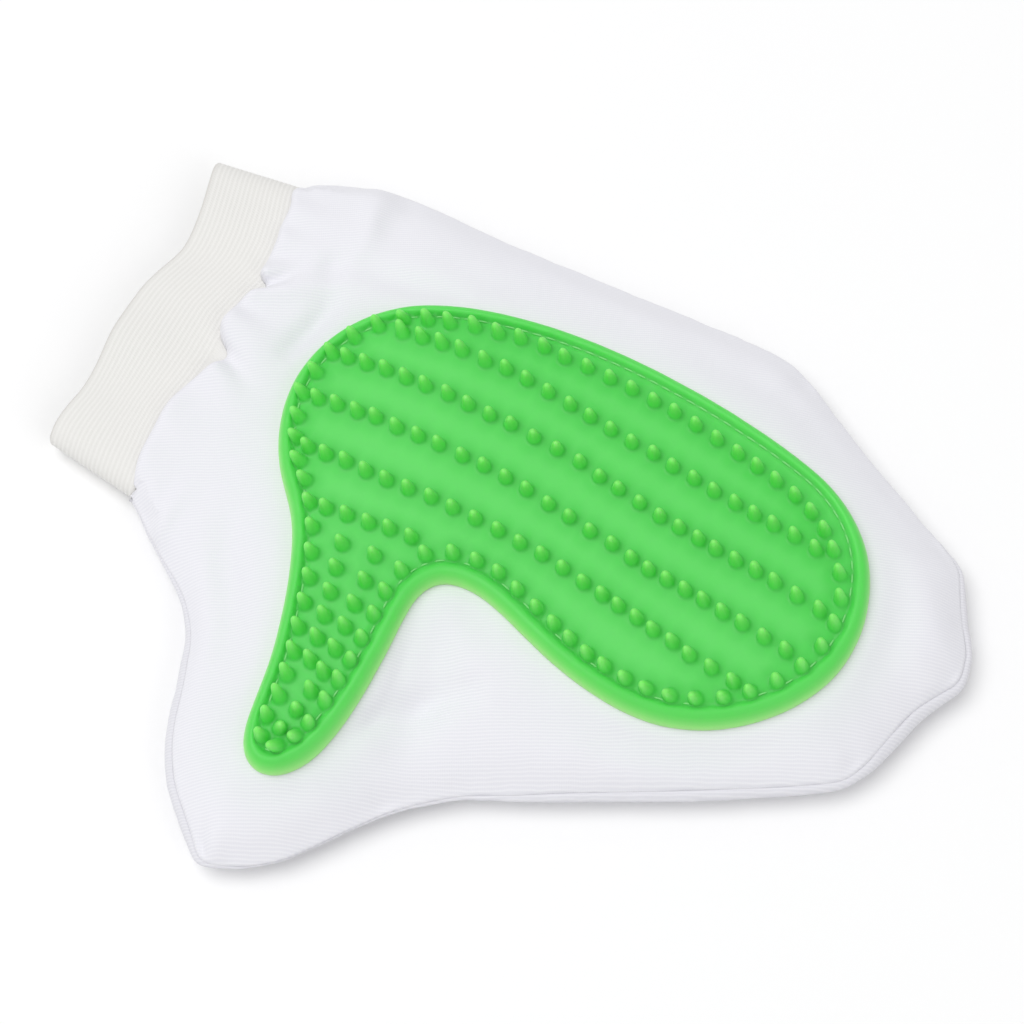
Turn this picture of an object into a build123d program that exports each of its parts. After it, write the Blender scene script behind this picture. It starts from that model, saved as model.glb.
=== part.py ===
from build123d import *
import math
import os

# Grooming mitt, right hand, lying on its back panel with the rubber palm pad up.
# +Z up, +Y from the cuff to the fingertips, +X towards the thumb, millimetres.

# ---- driving dimensions -------------------------------------------------
SEAM_Z = 6.0             # height of the side seam above the table
CLOTH = 1.2              # thickness of a knit panel
SEAM_GAP = 0.05          # between the sewn edges of the two panels
WRIST_RISE = 5.5         # palm panel above the seam at the wrist
PALM_RISE = 13.5         # palm panel above the seam in the middle of the hand
WRIST_Y, PALM_Y = -92.0, -26.0   # where the rise starts and ends
WRIST_ROLL, PALM_ROLL = 4.5, 13.0  # how far in from the seam the panel levels off
BACK_DROP = 8.5          # depth of the back panel's rolled edge
BACK_ROLL = 6.0
CUFF_GAP = 0.8           # clear slot at the sewn hinge between the mitt and the cuff
CUFF_WALL = 1.4          # thickness of the woven elastic
PAD_LIFT = 0.8           # pad underside above the knit, the depth of the stitch dimples
PAD_SHEET = 1.6          # thickness of the pad's base sheet
PAD_GROOVE = 1.0         # thickness left under the stitching groove
PAD_RIM = 3.2            # height of the raised rim
RIM_WIDTH = 5.0
GROOVE_WIDTH = 1.7
NUB_HEIGHT = 5.2
NUB_BASE_R = 2.0
NUB_TIP_R = 0.95
NUB_ROOT = 1.0           # how deep a nub is rooted in the base sheet
STITCH_R = 0.22
STITCH_LENGTH = 1.9
STITCH_PITCH = 3.4
STITCH_IN = 0.45
THREAD_R = 0.25          # sewing thread inside the cuff
SIDE_THREAD_R = 0.3      # overlock thread along the inside of the side seam
SIDE_THREAD_IN = 2.9     # how far in from the seam it lies
SIDE_THREAD_PITCH = 4.4
JOIN_X = 2.0             # where the elastic strip is joined, on the thumb side

# Plan of the side seam, from the wrist's outer side round the fingertips to the thumb.
SEAM = [(-80.6, -91.3), (-82.5, -89.4), (-85.5, -82), (-87.5, -75.7), (-89.4, -68.5), (-89.6, -56), (-89.2, -38.7),
        (-89.4, -21.6), (-89.6, -4.6), (-90.2, 14), (-90.4, 30.1), (-90.0, 41.2), (-86.5, 50.4), (-80.5, 60.6),
        (-73.9, 71.6), (-69.2, 80.3), (-64.5, 88.9), (-60.6, 96.6), (-56.8, 103.2), (-51.1, 106.5), (-45.3, 109.4),
        (-40.4, 112.2), (-36.2, 114.1), (-28.5, 115.0), (-23.3, 112.3), (-16.3, 108.8), (-9.2, 106.6), (-2.3, 104.3),
        (3.2, 101.5), (7.5, 98.2), (12.8, 90.1), (17.6, 81.9), (22.2, 73.7), (28.8, 61.1), (35, 48.4), (40.2, 37.8),
        (44.3, 29.3), (48, 20.6), (53.2, 12.7), (59.5, 5.3), (65.2, 0.3), (71.1, -4.6), (76.2, -8.5), (80.8, -12.6),
        (85.2, -18.3), (88.2, -24), (90.0, -29.2), (88.7, -32), (86, -35.1), (81.6, -40), (77.1, -44.6), (72.1, -48.2),
        (66.7, -51.2), (60.8, -53.4), (54.7, -55.1), (48.7, -57.1), (42.5, -59.1), (38.2, -61.8), (34.1, -65.2),
        (30.1, -70.1), (27.1, -74.6), (24.5, -78.3), (21.8, -81.8), (18.9, -85.7), (15.7, -89.5)]
# The mouth seam and the free edge of the cuff wave as the elastic relaxes.
MOUTH = [(-80.6, -91.0), (-72.4, -88.6), (-66.7, -86.8), (-59.3, -85.5), (-52.9, -85.3), (-45.6, -87.2),
         (-36.5, -89.2), (-24.2, -88.8), (-17.8, -89.4), (-11.8, -90.4), (-6.1, -91.2), (-0.8, -91.0),
         (3.9, -90.2), (10.5, -89.4), (16.0, -89.1)]
CUFF_EDGE = [(-77.6, -115.2), (-69.9, -113.2), (-62.5, -111.3), (-56.1, -110.4), (-50, -110.3), (-45.3, -111.3),
             (-40.8, -112.6), (-33.5, -114.2), (-22.3, -114.5), (-11.7, -113.8), (-3.9, -113.7), (1.4, -114.5),
             (6, -115.1), (12.0, -115.2)]
PAD = [(-56.5, -50.0), (-61.0, -39.2), (-64.3, -28.2), (-66.2, -16.7), (-67.2, -5.3), (-67.4, 5.9), (-67.0, 16.9), (-65.8, 27.9),
       (-64.3, 38.9), (-62.5, 49.8), (-59.8, 60.6), (-55.4, 70.6), (-47.8, 78.6), (-38.4, 84.2), (-27.7, 87.0),
       (-16.7, 86.9), (-6.5, 83.0), (2.0, 76.3), (8.8, 68.0), (13.6, 58.2), (15.8, 47.6), (15.3, 36.5),
       (13.2, 25.7), (9.8, 15.4), (6.5, 4.8), (6.9, -5.2), (14.2, -10.6), (26.3, -11.0), (37.3, -11.2), (48.3, -12.4),
       (58.5, -15.2), (66.8, -22.6), (63.8, -32.0), (52.9, -35.2), (41.9, -36.7), (31.2, -39.4), (20.6, -42.9),
       (10.9, -47.6), (2.6, -54.8), (-6.4, -61.8), (-17, -66.2), (-28.2, -67.5), (-39.6, -64.9), (-49.3, -58.7)]
NUBS = [(-6.3, -52.8), (-11.4, -56.1), (-16.9, -58.5), (-23.1, -60.1), (-29.6, -60.1), (-36, -58.6), (-41.9, -55.6),
        (-46.6, -51.4), (-50.2, -46.4), (-52.6, -41.2), (-54.4, -36.0), (-56.1, -30.4), (-57.4, -24.5), (-58.3, -18.6),
        (-58.9, -12.5), (-59.1, -6.4), (-59.2, -0.3), (-59.1, 6), (-58.8, 12.1), (-58.3, 18.2), (-57.6, 24), (-56.7, 30),
        (-55.7, 35.9), (-54.5, 41.8), (-53.2, 47.5), (-51.6, 53.2), (-49.6, 58.6), (-47.1, 63.7), (-44.0, 68.2),
        (-40.2, 72.1), (-35.7, 75.4), (-30.4, 77.8), (-24.2, 79.0), (-17.7, 78.6), (-11.6, 76.4), (-6, 72.8),
        (-1.0, 68.4), (3.0, 63.2), (6.0, 57.4), (7.9, 51.7), (8.7, 46.2), (8.8, 40.8), (8.4, 35.5), (7.5, 30.4),
        (6.2, 25.4), (4.7, 20.4), (3.0, 15.2), (1.2, 9.6), (-0.3, 3.8), (-0.7, -2.2), (0.2, -8.2), (3.1, -13.8),
        (8.7, -17.0), (15.0, -17.8), (21.4, -18), (27.6, -17.9), (33.4, -18.0), (39.0, -18.6), (44.7, -19.2),
        (50.5, -20.2), (55.9, -21.9), (59.8, -24.9), (57.6, -27.6), (52.6, -28.6), (47.2, -29.2), (41.9, -30.0),
        (36.6, -31.1), (31.1, -32.6), (25.4, -34.4), (19.7, -36.5), (14.0, -38.9), (8.4, -41.8), (3.0, -45.2), (-1.9, -49.0),
        (-48.2, -39.5), (-48.6, -34.0), (-48.9, -28.4), (-49.0, -22.6), (-48.8, -16.8), (-48.4, -10.8), (-47.7, -4.8),
        (-46.9, 1.2), (-46.1, 7.0), (-45.2, 13.0), (-44.4, 18.9), (-43.7, 24.8), (-42.9, 30.5), (-42.1, 36.1),
        (-41.4, 41.7), (-40.8, 47.3), (-40.3, 52.6), (-39.9, 57.9), (-39.4, 63.4),
        (-36.1, -50.5), (-36.2, -45.0), (-36.3, -39.4), (-36.3, -33.7), (-36.3, -27.8), (-36.1, -21.9), (-35.8, -15.9),
        (-35.4, -9.7), (-34.9, -3.4), (-34.2, 2.9), (-33.4, 9.2), (-32.5, 15.2), (-31.6, 21.0), (-30.7, 26.7),
        (-29.9, 32.3), (-29.2, 37.6), (-28.6, 42.8), (-28.1, 47.9), (-27.7, 53.0), (-27.3, 58.2), (-26.9, 63.6), (-26.4, 69.6),
        (-23.2, -51.6), (-23.4, -45.9), (-23.5, -40.3), (-23.5, -34.6), (-23.5, -28.9), (-23.4, -23.1), (-23.2, -17.1),
        (-22.9, -11.1), (-22.5, -5.1), (-21.8, 1.0), (-21.0, 7.2), (-20.1, 13.2), (-19.2, 19.1), (-18.3, 24.9),
        (-17.4, 30.4), (-16.7, 35.4), (-16.2, 40.3), (-15.8, 45.1), (-15.4, 50.0), (-15.0, 55.1), (-14.4, 60.5), (-13.8, 66.4),
        (-10.3, -46.9), (-10.3, -41.5), (-10.2, -36.2), (-10.1, -30.7), (-10.2, -25.0), (-10.2, -19.2), (-10.2, -13.2),
        (-10.0, -7.1), (-9.7, -0.9), (-9.3, 5.1), (-8.7, 11.1), (-7.9, 17.1), (-7.0, 22.8), (-6.2, 28.0), (-5.4, 32.8),
        (-4.6, 37.5), (-3.9, 42.3), (-3.2, 47.2), (-2.5, 52.4), (-1.9, 58.0),
        (2.3, -38.9), (2.0, -33.2), (1.6, -27.4), (1.2, -21.4), (9.0, -34.0), (8.8, -28.6), (8.5, -23.2), (15.0, -31.6),
        (15.1, -24.6), (20.9, -29.8), (21.2, -23.8), (26.5, -28.2), (26.9, -23.0), (32.0, -26.9), (37.6, -25.6),
        (43.2, -24.8), (48.8, -24.4)]


# ---- cloth heights ------------------------------------------------------
# The seam line runs on past the mouth, so that the mouth stays open.
SKIRT = SEAM[1:-1] + [(15.8, -92.0), (12.4, -115.0), (11.0, -175.0), (-77.0, -175.0), (-78.0, -115.0), (-81.0, -93.5)]


def inside_by(x, y, ring):
    """Distance from (x, y) to a closed ring of points, positive inside it."""
    within, nearest = False, 1e9
    for (ax, ay), (bx, by) in zip(ring, ring[1:] + ring[:1]):
        dx, dy = bx - ax, by - ay
        t = max(0.0, min(1.0, ((x - ax) * dx + (y - ay) * dy) / (dx * dx + dy * dy)))
        nearest = min(nearest, math.hypot(x - ax - t * dx, y - ay - t * dy))
        if (ay > y) != (by > y) and x < (bx - ax) * (y - ay) / (by - ay) + ax:
            within = not within
    return nearest if within else -nearest


def rolled(d, rise, roll):
    return rise * (1 - math.exp(-max(d, 0.0) / roll))


def palm_height(x, y):
    d = inside_by(x, y, SKIRT)
    t = max(0.0, min(1.0, (y - WRIST_Y) / (PALM_Y - WRIST_Y)))
    t = t * t * (3 - 2 * t)
    return SEAM_Z + rolled(d, WRIST_RISE + (PALM_RISE - WRIST_RISE) * t, WRIST_ROLL + (PALM_ROLL - WRIST_ROLL) * t)


def back_height(x, y):
    return max(0.0, SEAM_Z - rolled(inside_by(x, y, SKIRT), BACK_DROP, BACK_ROLL))


def palm_normal(x, y, h=1.5):
    gx = (palm_height(x + h, y) - palm_height(x - h, y)) / (2 * h)
    gy = (palm_height(x, y + h) - palm_height(x, y - h)) / (2 * h)
    n = math.sqrt(gx * gx + gy * gy + 1)
    return (-gx / n, -gy / n, 1 / n)


# ---- faceted solids -----------------------------------------------------
def solid_of(triangles):
    """A closed solid from triangles given as three points each."""
    faces = []
    for a, b, c in triangles:
        if len({a, b, c}) == 3:
            faces.append(Face(Wire.make_polygon([Vector(*a), Vector(*b), Vector(*c)], close=True)))
    return Solid(Shell(faces))


def webbed(ring, spine, bands, deep):
    """Plan triangles between a ring and its spine: bands in mm from the ring, then fractions of the way."""
    rows = []
    for (vx, vy), (nx, ny) in zip(ring, spine):
        reach = math.hypot(nx - vx, ny - vy)
        fit = min(1.0, 0.9 * deep[0] * reach / bands[-1])
        parts = [0.0] + [s * fit / reach for s in bands] + deep + [1.0]
        rows.append([(round(vx + (nx - vx) * f, 3), round(vy + (ny - vy) * f, 3)) for f in parts])
    flat = []
    for a, b in zip(rows, rows[1:] + rows[:1]):
        for k in range(len(a) - 1):
            flat.append((a[k], b[k], b[k + 1]))
            flat.append((a[k], b[k + 1], a[k + 1]))
    return [t for t in flat if len(set(t)) == 3], rows


def slab(ring, spine, bands, deep, top, bottom):
    """A closed slab over a ring, between two heights that depend on the plan point and its band."""
    flat, rows = webbed(ring, spine, bands, deep)
    band = {}
    for row in rows:
        for k, p in enumerate(row):
            band.setdefault(p, k)
    up = {p: (p[0], p[1], round(top(p, k), 4)) for p, k in band.items()}
    low = {p: (p[0], p[1], round(bottom(p, k), 4)) for p, k in band.items()}
    out = [(up[a], up[b], up[c]) for a, b, c in flat] + [(low[a], low[c], low[b]) for a, b, c in flat]
    edge = [row[0] for row in rows]
    for a, b in zip(edge, edge[1:] + edge[:1]):
        out += [(low[a], low[b], up[b]), (low[a], up[b], up[a])]
    return solid_of(out)


def spine_of(ring, path):
    """The spine node of each point of a ring: the path's nodes in order, none skipped, each as near as can be."""
    n, m = len(ring), len(path)
    cost = [[1e12] * m for _ in range(n)]
    came = [[0] * m for _ in range(n)]
    for i, (x, y) in enumerate(ring):
        for j, (px, py) in enumerate(path):
            near = math.hypot(x - px, y - py)
            if i == 0:
                cost[i][j] = near if j == 0 else 1e12
            else:
                stay, move = cost[i - 1][j], cost[i - 1][j - 1] if j else 1e12
                cost[i][j], came[i][j] = near + min(stay, move), 0 if stay <= move else 1
    j, out = m - 1, []
    for i in range(n - 1, -1, -1):
        out.append(path[j])
        j -= came[i][j]
    return out[::-1]


# ---- the two knit panels ------------------------------------------------
HAND = [(-33, -46), (-33, -30), (-33, -14), (-33, 2), (-34, 18), (-34, 34), (-32, 50),
        (-29, 66), (-26, 82)]
THUMB = [(-17, -30), (-1, -29), (15, -28), (31, -27), (47, -26), (62, -26)]
mitt_ring = MOUTH[1:-1] + SEAM[::-1]
mitt_spine = spine_of(mitt_ring, HAND[:2] + THUMB + THUMB[-2::-1] + HAND[1:] + HAND[-2::-1])
BANDS = [2.0, 5.5, 11.0]
DEEP = [0.5, 0.78]

with BuildPart() as palm_panel:
    add(slab(mitt_ring, mitt_spine, BANDS, DEEP,
             lambda p, k: max(SEAM_Z + 0.9, palm_height(*p)),
             lambda p, k: max(SEAM_Z, palm_height(*p) - CLOTH)))
palm_panel.part.label = "palm_panel"

with BuildPart() as back_panel:
    add(slab(mitt_ring, mitt_spine, BANDS, DEEP,
             lambda p, k: min(SEAM_Z - SEAM_GAP, back_height(*p) + CLOTH),
             lambda p, k: min(SEAM_Z - SEAM_GAP - 0.9, back_height(*p))))
back_panel.part.label = "back_panel"

# ---- elastic cuff: a flat woven loop, closed on itself ------------------
ACROSS = [0.0, 0.012, 0.035, 0.075, 0.14, 0.22, 0.31, 0.41, 0.5, 0.59, 0.69, 0.78, 0.86, 0.925, 0.965, 0.988, 1.0]


def along(line, x):
    for (ax, ay), (bx, by) in zip(line, line[1:]):
        if ax <= x <= bx:
            return ay + (by - ay) * (x - ax) / (bx - ax)
    return line[0][1] if x < line[0][0] else line[-1][1]


def cuff_section(t):
    """The loop's outer and inner lines at a station, t from 0 at the mitt to 1 at the free edge."""
    left = MOUTH[0][0] + (CUFF_EDGE[0][0] - MOUTH[0][0]) * t + 0.4
    right = MOUTH[-1][0] + (CUFF_EDGE[-1][0] - MOUTH[-1][0]) * t - 0.4
    outer = []
    for side in (1, -1):
        for f in ACROSS if side == 1 else ACROSS[-2:0:-1]:
            x = left + (right - left) * f
            y = (along(MOUTH, x) - CUFF_GAP) * (1 - t) + along(CUFF_EDGE, x) * t
            d = min(x - left, right - x)
            half = math.sqrt(max(0.0, 1 - (1 - min(1.0, d / 7.0)) ** 2))
            z = SEAM_Z - 0.4 + (WRIST_RISE - 0.6) * half if side == 1 else (SEAM_Z - 0.4) * (1 - half)
            outer.append((x, y, z))
    inner, n = [], len(outer)
    for i in range(n):
        (ax, _, az), (bx, _, bz) = outer[i - 1], outer[(i + 1) % n]
        dx, dz = bx - ax, bz - az
        h = math.hypot(dx, dz)
        x, y, z = outer[i]
        inner.append((x + CUFF_WALL * dz / h, y, z - CUFF_WALL * dx / h))
    return [[tuple(round(v, 4) for v in p) for p in line] for line in (outer, inner)]


stations = [cuff_section(t) for t in (0.0, 0.33, 0.67, 1.0)]
loops = [s[0] for s in stations] + [s[1] for s in stations[::-1]]
cuff_faces = []
for one, two in zip(loops, loops[1:] + loops[:1]):
    for i in range(len(one)):
        j = (i + 1) % len(one)
        cuff_faces += [(one[i], one[j], two[j]), (one[i], two[j], two[i])]
with BuildPart() as elastic_cuff:
    add(solid_of(cuff_faces))
elastic_cuff.part.label = "elastic_cuff"

# ---- grooming pad: base sheet, raised rim, groove and nubs in one moulding ----
PALM = [(-31, -48), (-31, -36), (-30, -24), (-29, -12), (-29, 0), (-28, 12), (-27, 24), (-26, 36), (-25, 48), (-24, 60)]
STALL = [(-18, -26), (-6, -26), (6, -26), (18, -25), (30, -24.5), (42, -24), (54, -23.5)]
pad_ring = PAD[::-1]
start = max(range(len(pad_ring)), key=lambda i: -abs(pad_ring[i][0] + 28.2) - abs(pad_ring[i][1] + 67.5))
pad_ring = pad_ring[start:] + pad_ring[:start]
pad_spine = spine_of(pad_ring, PALM[:3] + STALL + STALL[-2::-1] + PALM[2:] + PALM[-2::-1])
PAD_BANDS = [1.3, RIM_WIDTH - 1.0, RIM_WIDTH, RIM_WIDTH + GROOVE_WIDTH, RIM_WIDTH + GROOVE_WIDTH + 0.4]
PAD_LEVEL = [0.8, PAD_RIM, PAD_RIM, PAD_GROOVE, PAD_GROOVE] + [PAD_SHEET] * 3


def pad_level(p, k):
    return palm_height(*p) + PAD_LIFT + PAD_LEVEL[k]


# a nub: a cone with a rounded tip, turned about its own axis, +Z outwards from its root
with BuildPart() as nub:
    with BuildSketch(Plane.XZ):
        with BuildLine():
            Line((0, -NUB_ROOT), (NUB_BASE_R, -NUB_ROOT))
            Line((NUB_BASE_R, -NUB_ROOT), (NUB_BASE_R, 0))
            Line((NUB_BASE_R, 0), (NUB_TIP_R, NUB_HEIGHT - NUB_TIP_R))
            RadiusArc((NUB_TIP_R, NUB_HEIGHT - NUB_TIP_R), (0, NUB_HEIGHT), -NUB_TIP_R)
            Line((0, NUB_HEIGHT), (0, -NUB_ROOT))
        make_face()
    revolve(axis=Axis.Z)
nub_places = []
for x, y in NUBS:
    root = (x, y, palm_height(x, y) + PAD_LIFT + PAD_SHEET)
    nub_places.append(Plane(origin=root, z_dir=palm_normal(x, y)))
with BuildPart() as grooming_pad:
    add(slab(pad_ring, pad_spine, PAD_BANDS, [0.85], pad_level, lambda p, k: palm_height(*p) + PAD_LIFT))
    with Locations(*nub_places):
        add(nub.part)
grooming_pad.part.label = "grooming_pad"
# ---- threads: each stitch is a short straight piece of thread -----------
def stitches(points, radius, length):
    """Threads lying along a run of points, one for each point but the ends."""
    planes = []
    for before, here, after in zip(points, points[1:], points[2:]):
        planes.append(Plane(origin=here, z_dir=tuple(q - p for p, q in zip(before, after))))
    with BuildPart(mode=Mode.PRIVATE) as thread:
        Cylinder(radius, length)
    return [plane.location * thread.part for plane in planes]


def spaced(line, pitch, closed=False):
    """Points at an even pitch along a run of plan points."""
    run = line + line[:1] if closed else line
    total = sum(math.hypot(b[0] - a[0], b[1] - a[1]) for a, b in zip(run, run[1:]))
    step = total / round(total / pitch)
    out, left = [], 0.0
    for (ax, ay), (bx, by) in zip(run, run[1:]):
        d = math.hypot(bx - ax, by - ay)
        while left <= d:
            out.append((ax + (bx - ax) * left / d, ay + (by - ay) * left / d))
            left += step
        left -= d
    return out


def inset(ring, amount, keep=0.25):
    """A ring's points moved inwards, without those that come too near it again. The ring runs anticlockwise."""
    out = []
    for before, (x, y), after in zip(ring[-1:] + ring[:-1], ring, ring[1:] + ring[:1]):
        tx, ty = after[0] - before[0], after[1] - before[1]
        n = math.hypot(tx, ty)
        p = (x - amount * ty / n, y + amount * tx / n)
        if inside_by(p[0], p[1], ring) > amount - keep:
            out.append(p)
    return out


pad_flat, pad_rows = webbed(pad_ring, pad_spine, PAD_BANDS, [0.85])
pad_top = {}
for row in pad_rows:
    for k, p in enumerate(row):
        pad_top.setdefault(p, pad_level(p, k))


def moulded_top(x, y):
    """Height of the pad's faceted upper surface, without its nubs."""
    best = (-1e9, 0.0)
    for a, b, c in pad_flat:
        area = (b[0] - a[0]) * (c[1] - a[1]) - (c[0] - a[0]) * (b[1] - a[1])
        if abs(area) > 1e-9:
            u = ((x - a[0]) * (c[1] - a[1]) - (c[0] - a[0]) * (y - a[1])) / area
            v = ((b[0] - a[0]) * (y - a[1]) - (x - a[0]) * (b[1] - a[1])) / area
            low = min(u, v, 1 - u - v)
            if low > best[0]:
                best = (low, pad_top[a] * (1 - u - v) + pad_top[b] * u + pad_top[c] * v)
    return best[1]


def resting(points, radius, length, lift):
    """Each point raised so that the thread there, level and along the run, lies just over the moulding."""
    out = []
    for (ax, ay), (x, y), (bx, by) in zip(points, points[2:], points[4:]):
        n = math.hypot(bx - ax, by - ay)
        dx, dy = (bx - ax) / n, (by - ay) / n
        under = [(x + dx * s + dy * w, y + dy * s - dx * w)
                 for s in (-length / 2, -length / 4, 0.0, length / 4, length / 2) for w in (-radius, 0.0, radius)]
        ends = [(x - dx * length / 2, y - dy * length / 2), (x, y), (x + dx * length / 2, y + dy * length / 2)]
        clear = min(math.hypot(px - nx, py - ny) for px, py in ends for nx, ny in NUBS)
        if clear > NUB_BASE_R + radius + 0.06:
            out.append(((x, y, max(moulded_top(*p) for p in under) + radius + lift), (dx, dy, 0)))
    return out


groove_line = spaced(inset(pad_ring, RIM_WIDTH + STITCH_IN), 0.5, closed=True)
laid = []
for place in resting(groove_line + groove_line[:4], STITCH_R, STITCH_LENGTH, 0.06):
    if all(math.dist(place[0], other[0]) > STITCH_PITCH for other in laid):
        laid.append(place)
with BuildPart() as pad_stitching:
    with Locations(*[Plane(origin=p, z_dir=d) for p, d in laid]):
        Cylinder(STITCH_R, STITCH_LENGTH)
pad_stitching.part.label = "pad_stitching"

side_line = spaced([p for p in inset(SKIRT[::-1], SIDE_THREAD_IN) if p[1] > -84], SIDE_THREAD_PITCH)
with BuildPart() as side_seam_thread:
    add(stitches([(x, y, SEAM_Z - 0.25) for x, y in side_line], SIDE_THREAD_R, SIDE_THREAD_PITCH - 1.2))
side_seam_thread.part.label = "side_seam_thread"

# The gathering thread lies inside the cuff, on its upper and lower walls.
inner_line = cuff_section(0.1)[1]
centre_z = (SEAM_Z - 0.4 + WRIST_RISE) / 2
upper = [(x, y, z - THREAD_R - 0.08) for x, y, z in inner_line if z > centre_z]
lower = [(x, y, z + THREAD_R + 0.08) for x, y, z in inner_line if z < centre_z]


def level_run(points):
    """Points every 5 mm along the flat middle of a wall."""
    points = sorted(points)[3:-3]
    xs = [points[0][0] + 5.0 * i for i in range(int((points[-1][0] - points[0][0]) / 5.0) + 1)]
    return [(x, along([(p[0], p[1]) for p in points], x), along([(p[0], p[2]) for p in points], x)) for x in xs]


with BuildPart() as cuff_seam_thread:
    add(stitches(level_run(upper), THREAD_R, 3.2) + stitches(level_run(lower), THREAD_R, 3.2))
cuff_seam_thread.part.label = "cuff_seam_thread"

# A zigzag across the elastic closes the strip into a loop, inside on the lower wall.
with BuildPart() as cuff_join_thread:
    with Locations(*[Plane(origin=(JOIN_X, -93.5 - 2.1 * i, CUFF_WALL + THREAD_R + 0.08),
                           z_dir=(1, 0.75 if i % 2 else -0.75, 0)) for i in range(9)]):
        Cylinder(THREAD_R, 2.1)
cuff_join_thread.part.label = "cuff_join_thread"

os.makedirs("parts", exist_ok=True)
for piece in (palm_panel, back_panel, elastic_cuff, grooming_pad, pad_stitching, side_seam_thread, cuff_seam_thread,
              cuff_join_thread):
    name = piece.part.label
    export_step(piece.part, "parts/%s.step" % name)
    print(name, len(piece.part.solids()), round(piece.part.volume), piece.part.is_valid)
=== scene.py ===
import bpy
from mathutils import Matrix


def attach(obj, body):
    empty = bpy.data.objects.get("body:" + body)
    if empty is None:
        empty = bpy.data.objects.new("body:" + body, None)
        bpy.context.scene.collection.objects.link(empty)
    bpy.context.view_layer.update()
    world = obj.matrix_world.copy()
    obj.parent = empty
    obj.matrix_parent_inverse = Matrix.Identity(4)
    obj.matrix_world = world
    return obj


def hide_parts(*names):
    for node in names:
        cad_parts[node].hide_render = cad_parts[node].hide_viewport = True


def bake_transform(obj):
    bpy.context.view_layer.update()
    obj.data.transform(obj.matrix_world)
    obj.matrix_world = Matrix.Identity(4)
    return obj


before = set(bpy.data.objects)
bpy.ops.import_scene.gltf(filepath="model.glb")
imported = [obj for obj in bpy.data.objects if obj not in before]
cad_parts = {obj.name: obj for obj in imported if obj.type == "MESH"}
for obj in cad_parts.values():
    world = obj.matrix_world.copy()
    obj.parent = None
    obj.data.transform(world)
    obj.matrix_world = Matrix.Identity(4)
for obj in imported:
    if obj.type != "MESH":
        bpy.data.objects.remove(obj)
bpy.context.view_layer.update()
import math

import bpy
import numpy as np
from mathutils import Vector
from mathutils.geometry import delaunay_2d_cdt

# ---- shape: outlines and heights, in mm ----------------------------------
# Outline of the mitt seen from above, from the wrist's outer side round the fingertips to the thumb.
SEAM = [(-80.6, -91.3), (-82.5, -89.4), (-85.5, -82), (-87.5, -75.7), (-89.4, -68.5), (-89.6, -56), (-89.2, -38.7),
        (-89.4, -21.6), (-89.6, -4.6), (-90.2, 14), (-90.4, 30.1), (-90.0, 41.2), (-86.5, 50.4), (-80.5, 60.6),
        (-73.9, 71.6), (-69.2, 80.3), (-64.5, 88.9), (-60.6, 96.6), (-56.8, 103.2), (-51.1, 106.5), (-45.3, 109.4),
        (-40.4, 112.2), (-36.2, 114.1), (-28.5, 115.0), (-23.3, 112.3), (-16.3, 108.8), (-9.2, 106.6), (-2.3, 104.3),
        (3.2, 101.5), (7.5, 98.2), (12.8, 90.1), (17.6, 81.9), (22.2, 73.7), (28.8, 61.1), (35, 48.4), (40.2, 37.8),
        (44.3, 29.3), (48, 20.6), (53.2, 12.7), (59.5, 5.3), (65.2, 0.3), (71.1, -4.6), (76.2, -8.5), (80.8, -12.6),
        (85.2, -18.3), (88.2, -24), (90.0, -29.2), (88.7, -32), (86, -35.1), (81.6, -40), (77.1, -44.6), (72.1, -48.2),
        (66.7, -51.2), (60.8, -53.4), (54.7, -55.1), (48.7, -57.1), (42.5, -59.1), (38.2, -61.8), (34.1, -65.2),
        (30.1, -70.1), (27.1, -74.6), (24.5, -78.3), (21.8, -81.8), (18.9, -85.7), (15.7, -89.5)]
MOUTH = [(-80.6, -91.0), (-72.4, -88.6), (-66.7, -86.8), (-59.3, -85.5), (-52.9, -85.3), (-45.6, -87.2),
         (-36.5, -89.2), (-24.2, -88.8), (-17.8, -89.4), (-11.8, -90.4), (-6.1, -91.2), (-0.8, -91.0),
         (3.9, -90.2), (10.5, -89.4), (16.0, -89.1)]
CUFF_EDGE = [(-77.6, -115.2), (-69.9, -113.2), (-62.5, -111.3), (-56.1, -110.4), (-50, -110.3), (-45.3, -111.3),
             (-40.8, -112.6), (-33.5, -114.2), (-22.3, -114.5), (-11.7, -113.8), (-3.9, -113.7), (1.4, -114.5),
             (6, -115.1), (12.0, -115.2)]
SEAM_Z, WRIST_RISE, PALM_RISE, WRIST_Y, PALM_Y, WRIST_ROLL, PALM_ROLL, BACK_DROP, BACK_ROLL = \
    6.0, 5.5, 13.5, -92.0, -26.0, 2.7, 13.0, 8.5, 6.0


def arr(a):
    return np.asarray(a, float)


def step01(x, lo=0.0, hi=1.0):
    t = np.clip((x - lo) / (hi - lo), 0, 1)
    return t * t * (3 - 2 * t)


def bump(x, width):
    return np.exp(-(x / width) ** 2)


def signed(P, ring):
    """Distance of points from a closed ring, positive inside it."""
    P, A = arr(P), arr(ring)
    best, odd = np.full(len(P), 1e18), np.zeros(len(P), bool)
    for (ax, ay), (bx, by) in zip(A, np.roll(A, -1, 0)):
        dx, dy = bx - ax, by - ay
        t = np.clip(((P[:, 0] - ax) * dx + (P[:, 1] - ay) * dy) / max(dx * dx + dy * dy, 1e-12), 0, 1)
        best = np.minimum(best, (P[:, 0] - ax - t * dx) ** 2 + (P[:, 1] - ay - t * dy) ** 2)
        if ay != by:
            odd ^= ((ay > P[:, 1]) != (by > P[:, 1])) & (P[:, 0] < (bx - ax) * (P[:, 1] - ay) / (by - ay) + ax)
    return np.where(odd, 1, -1) * np.sqrt(best)


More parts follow.
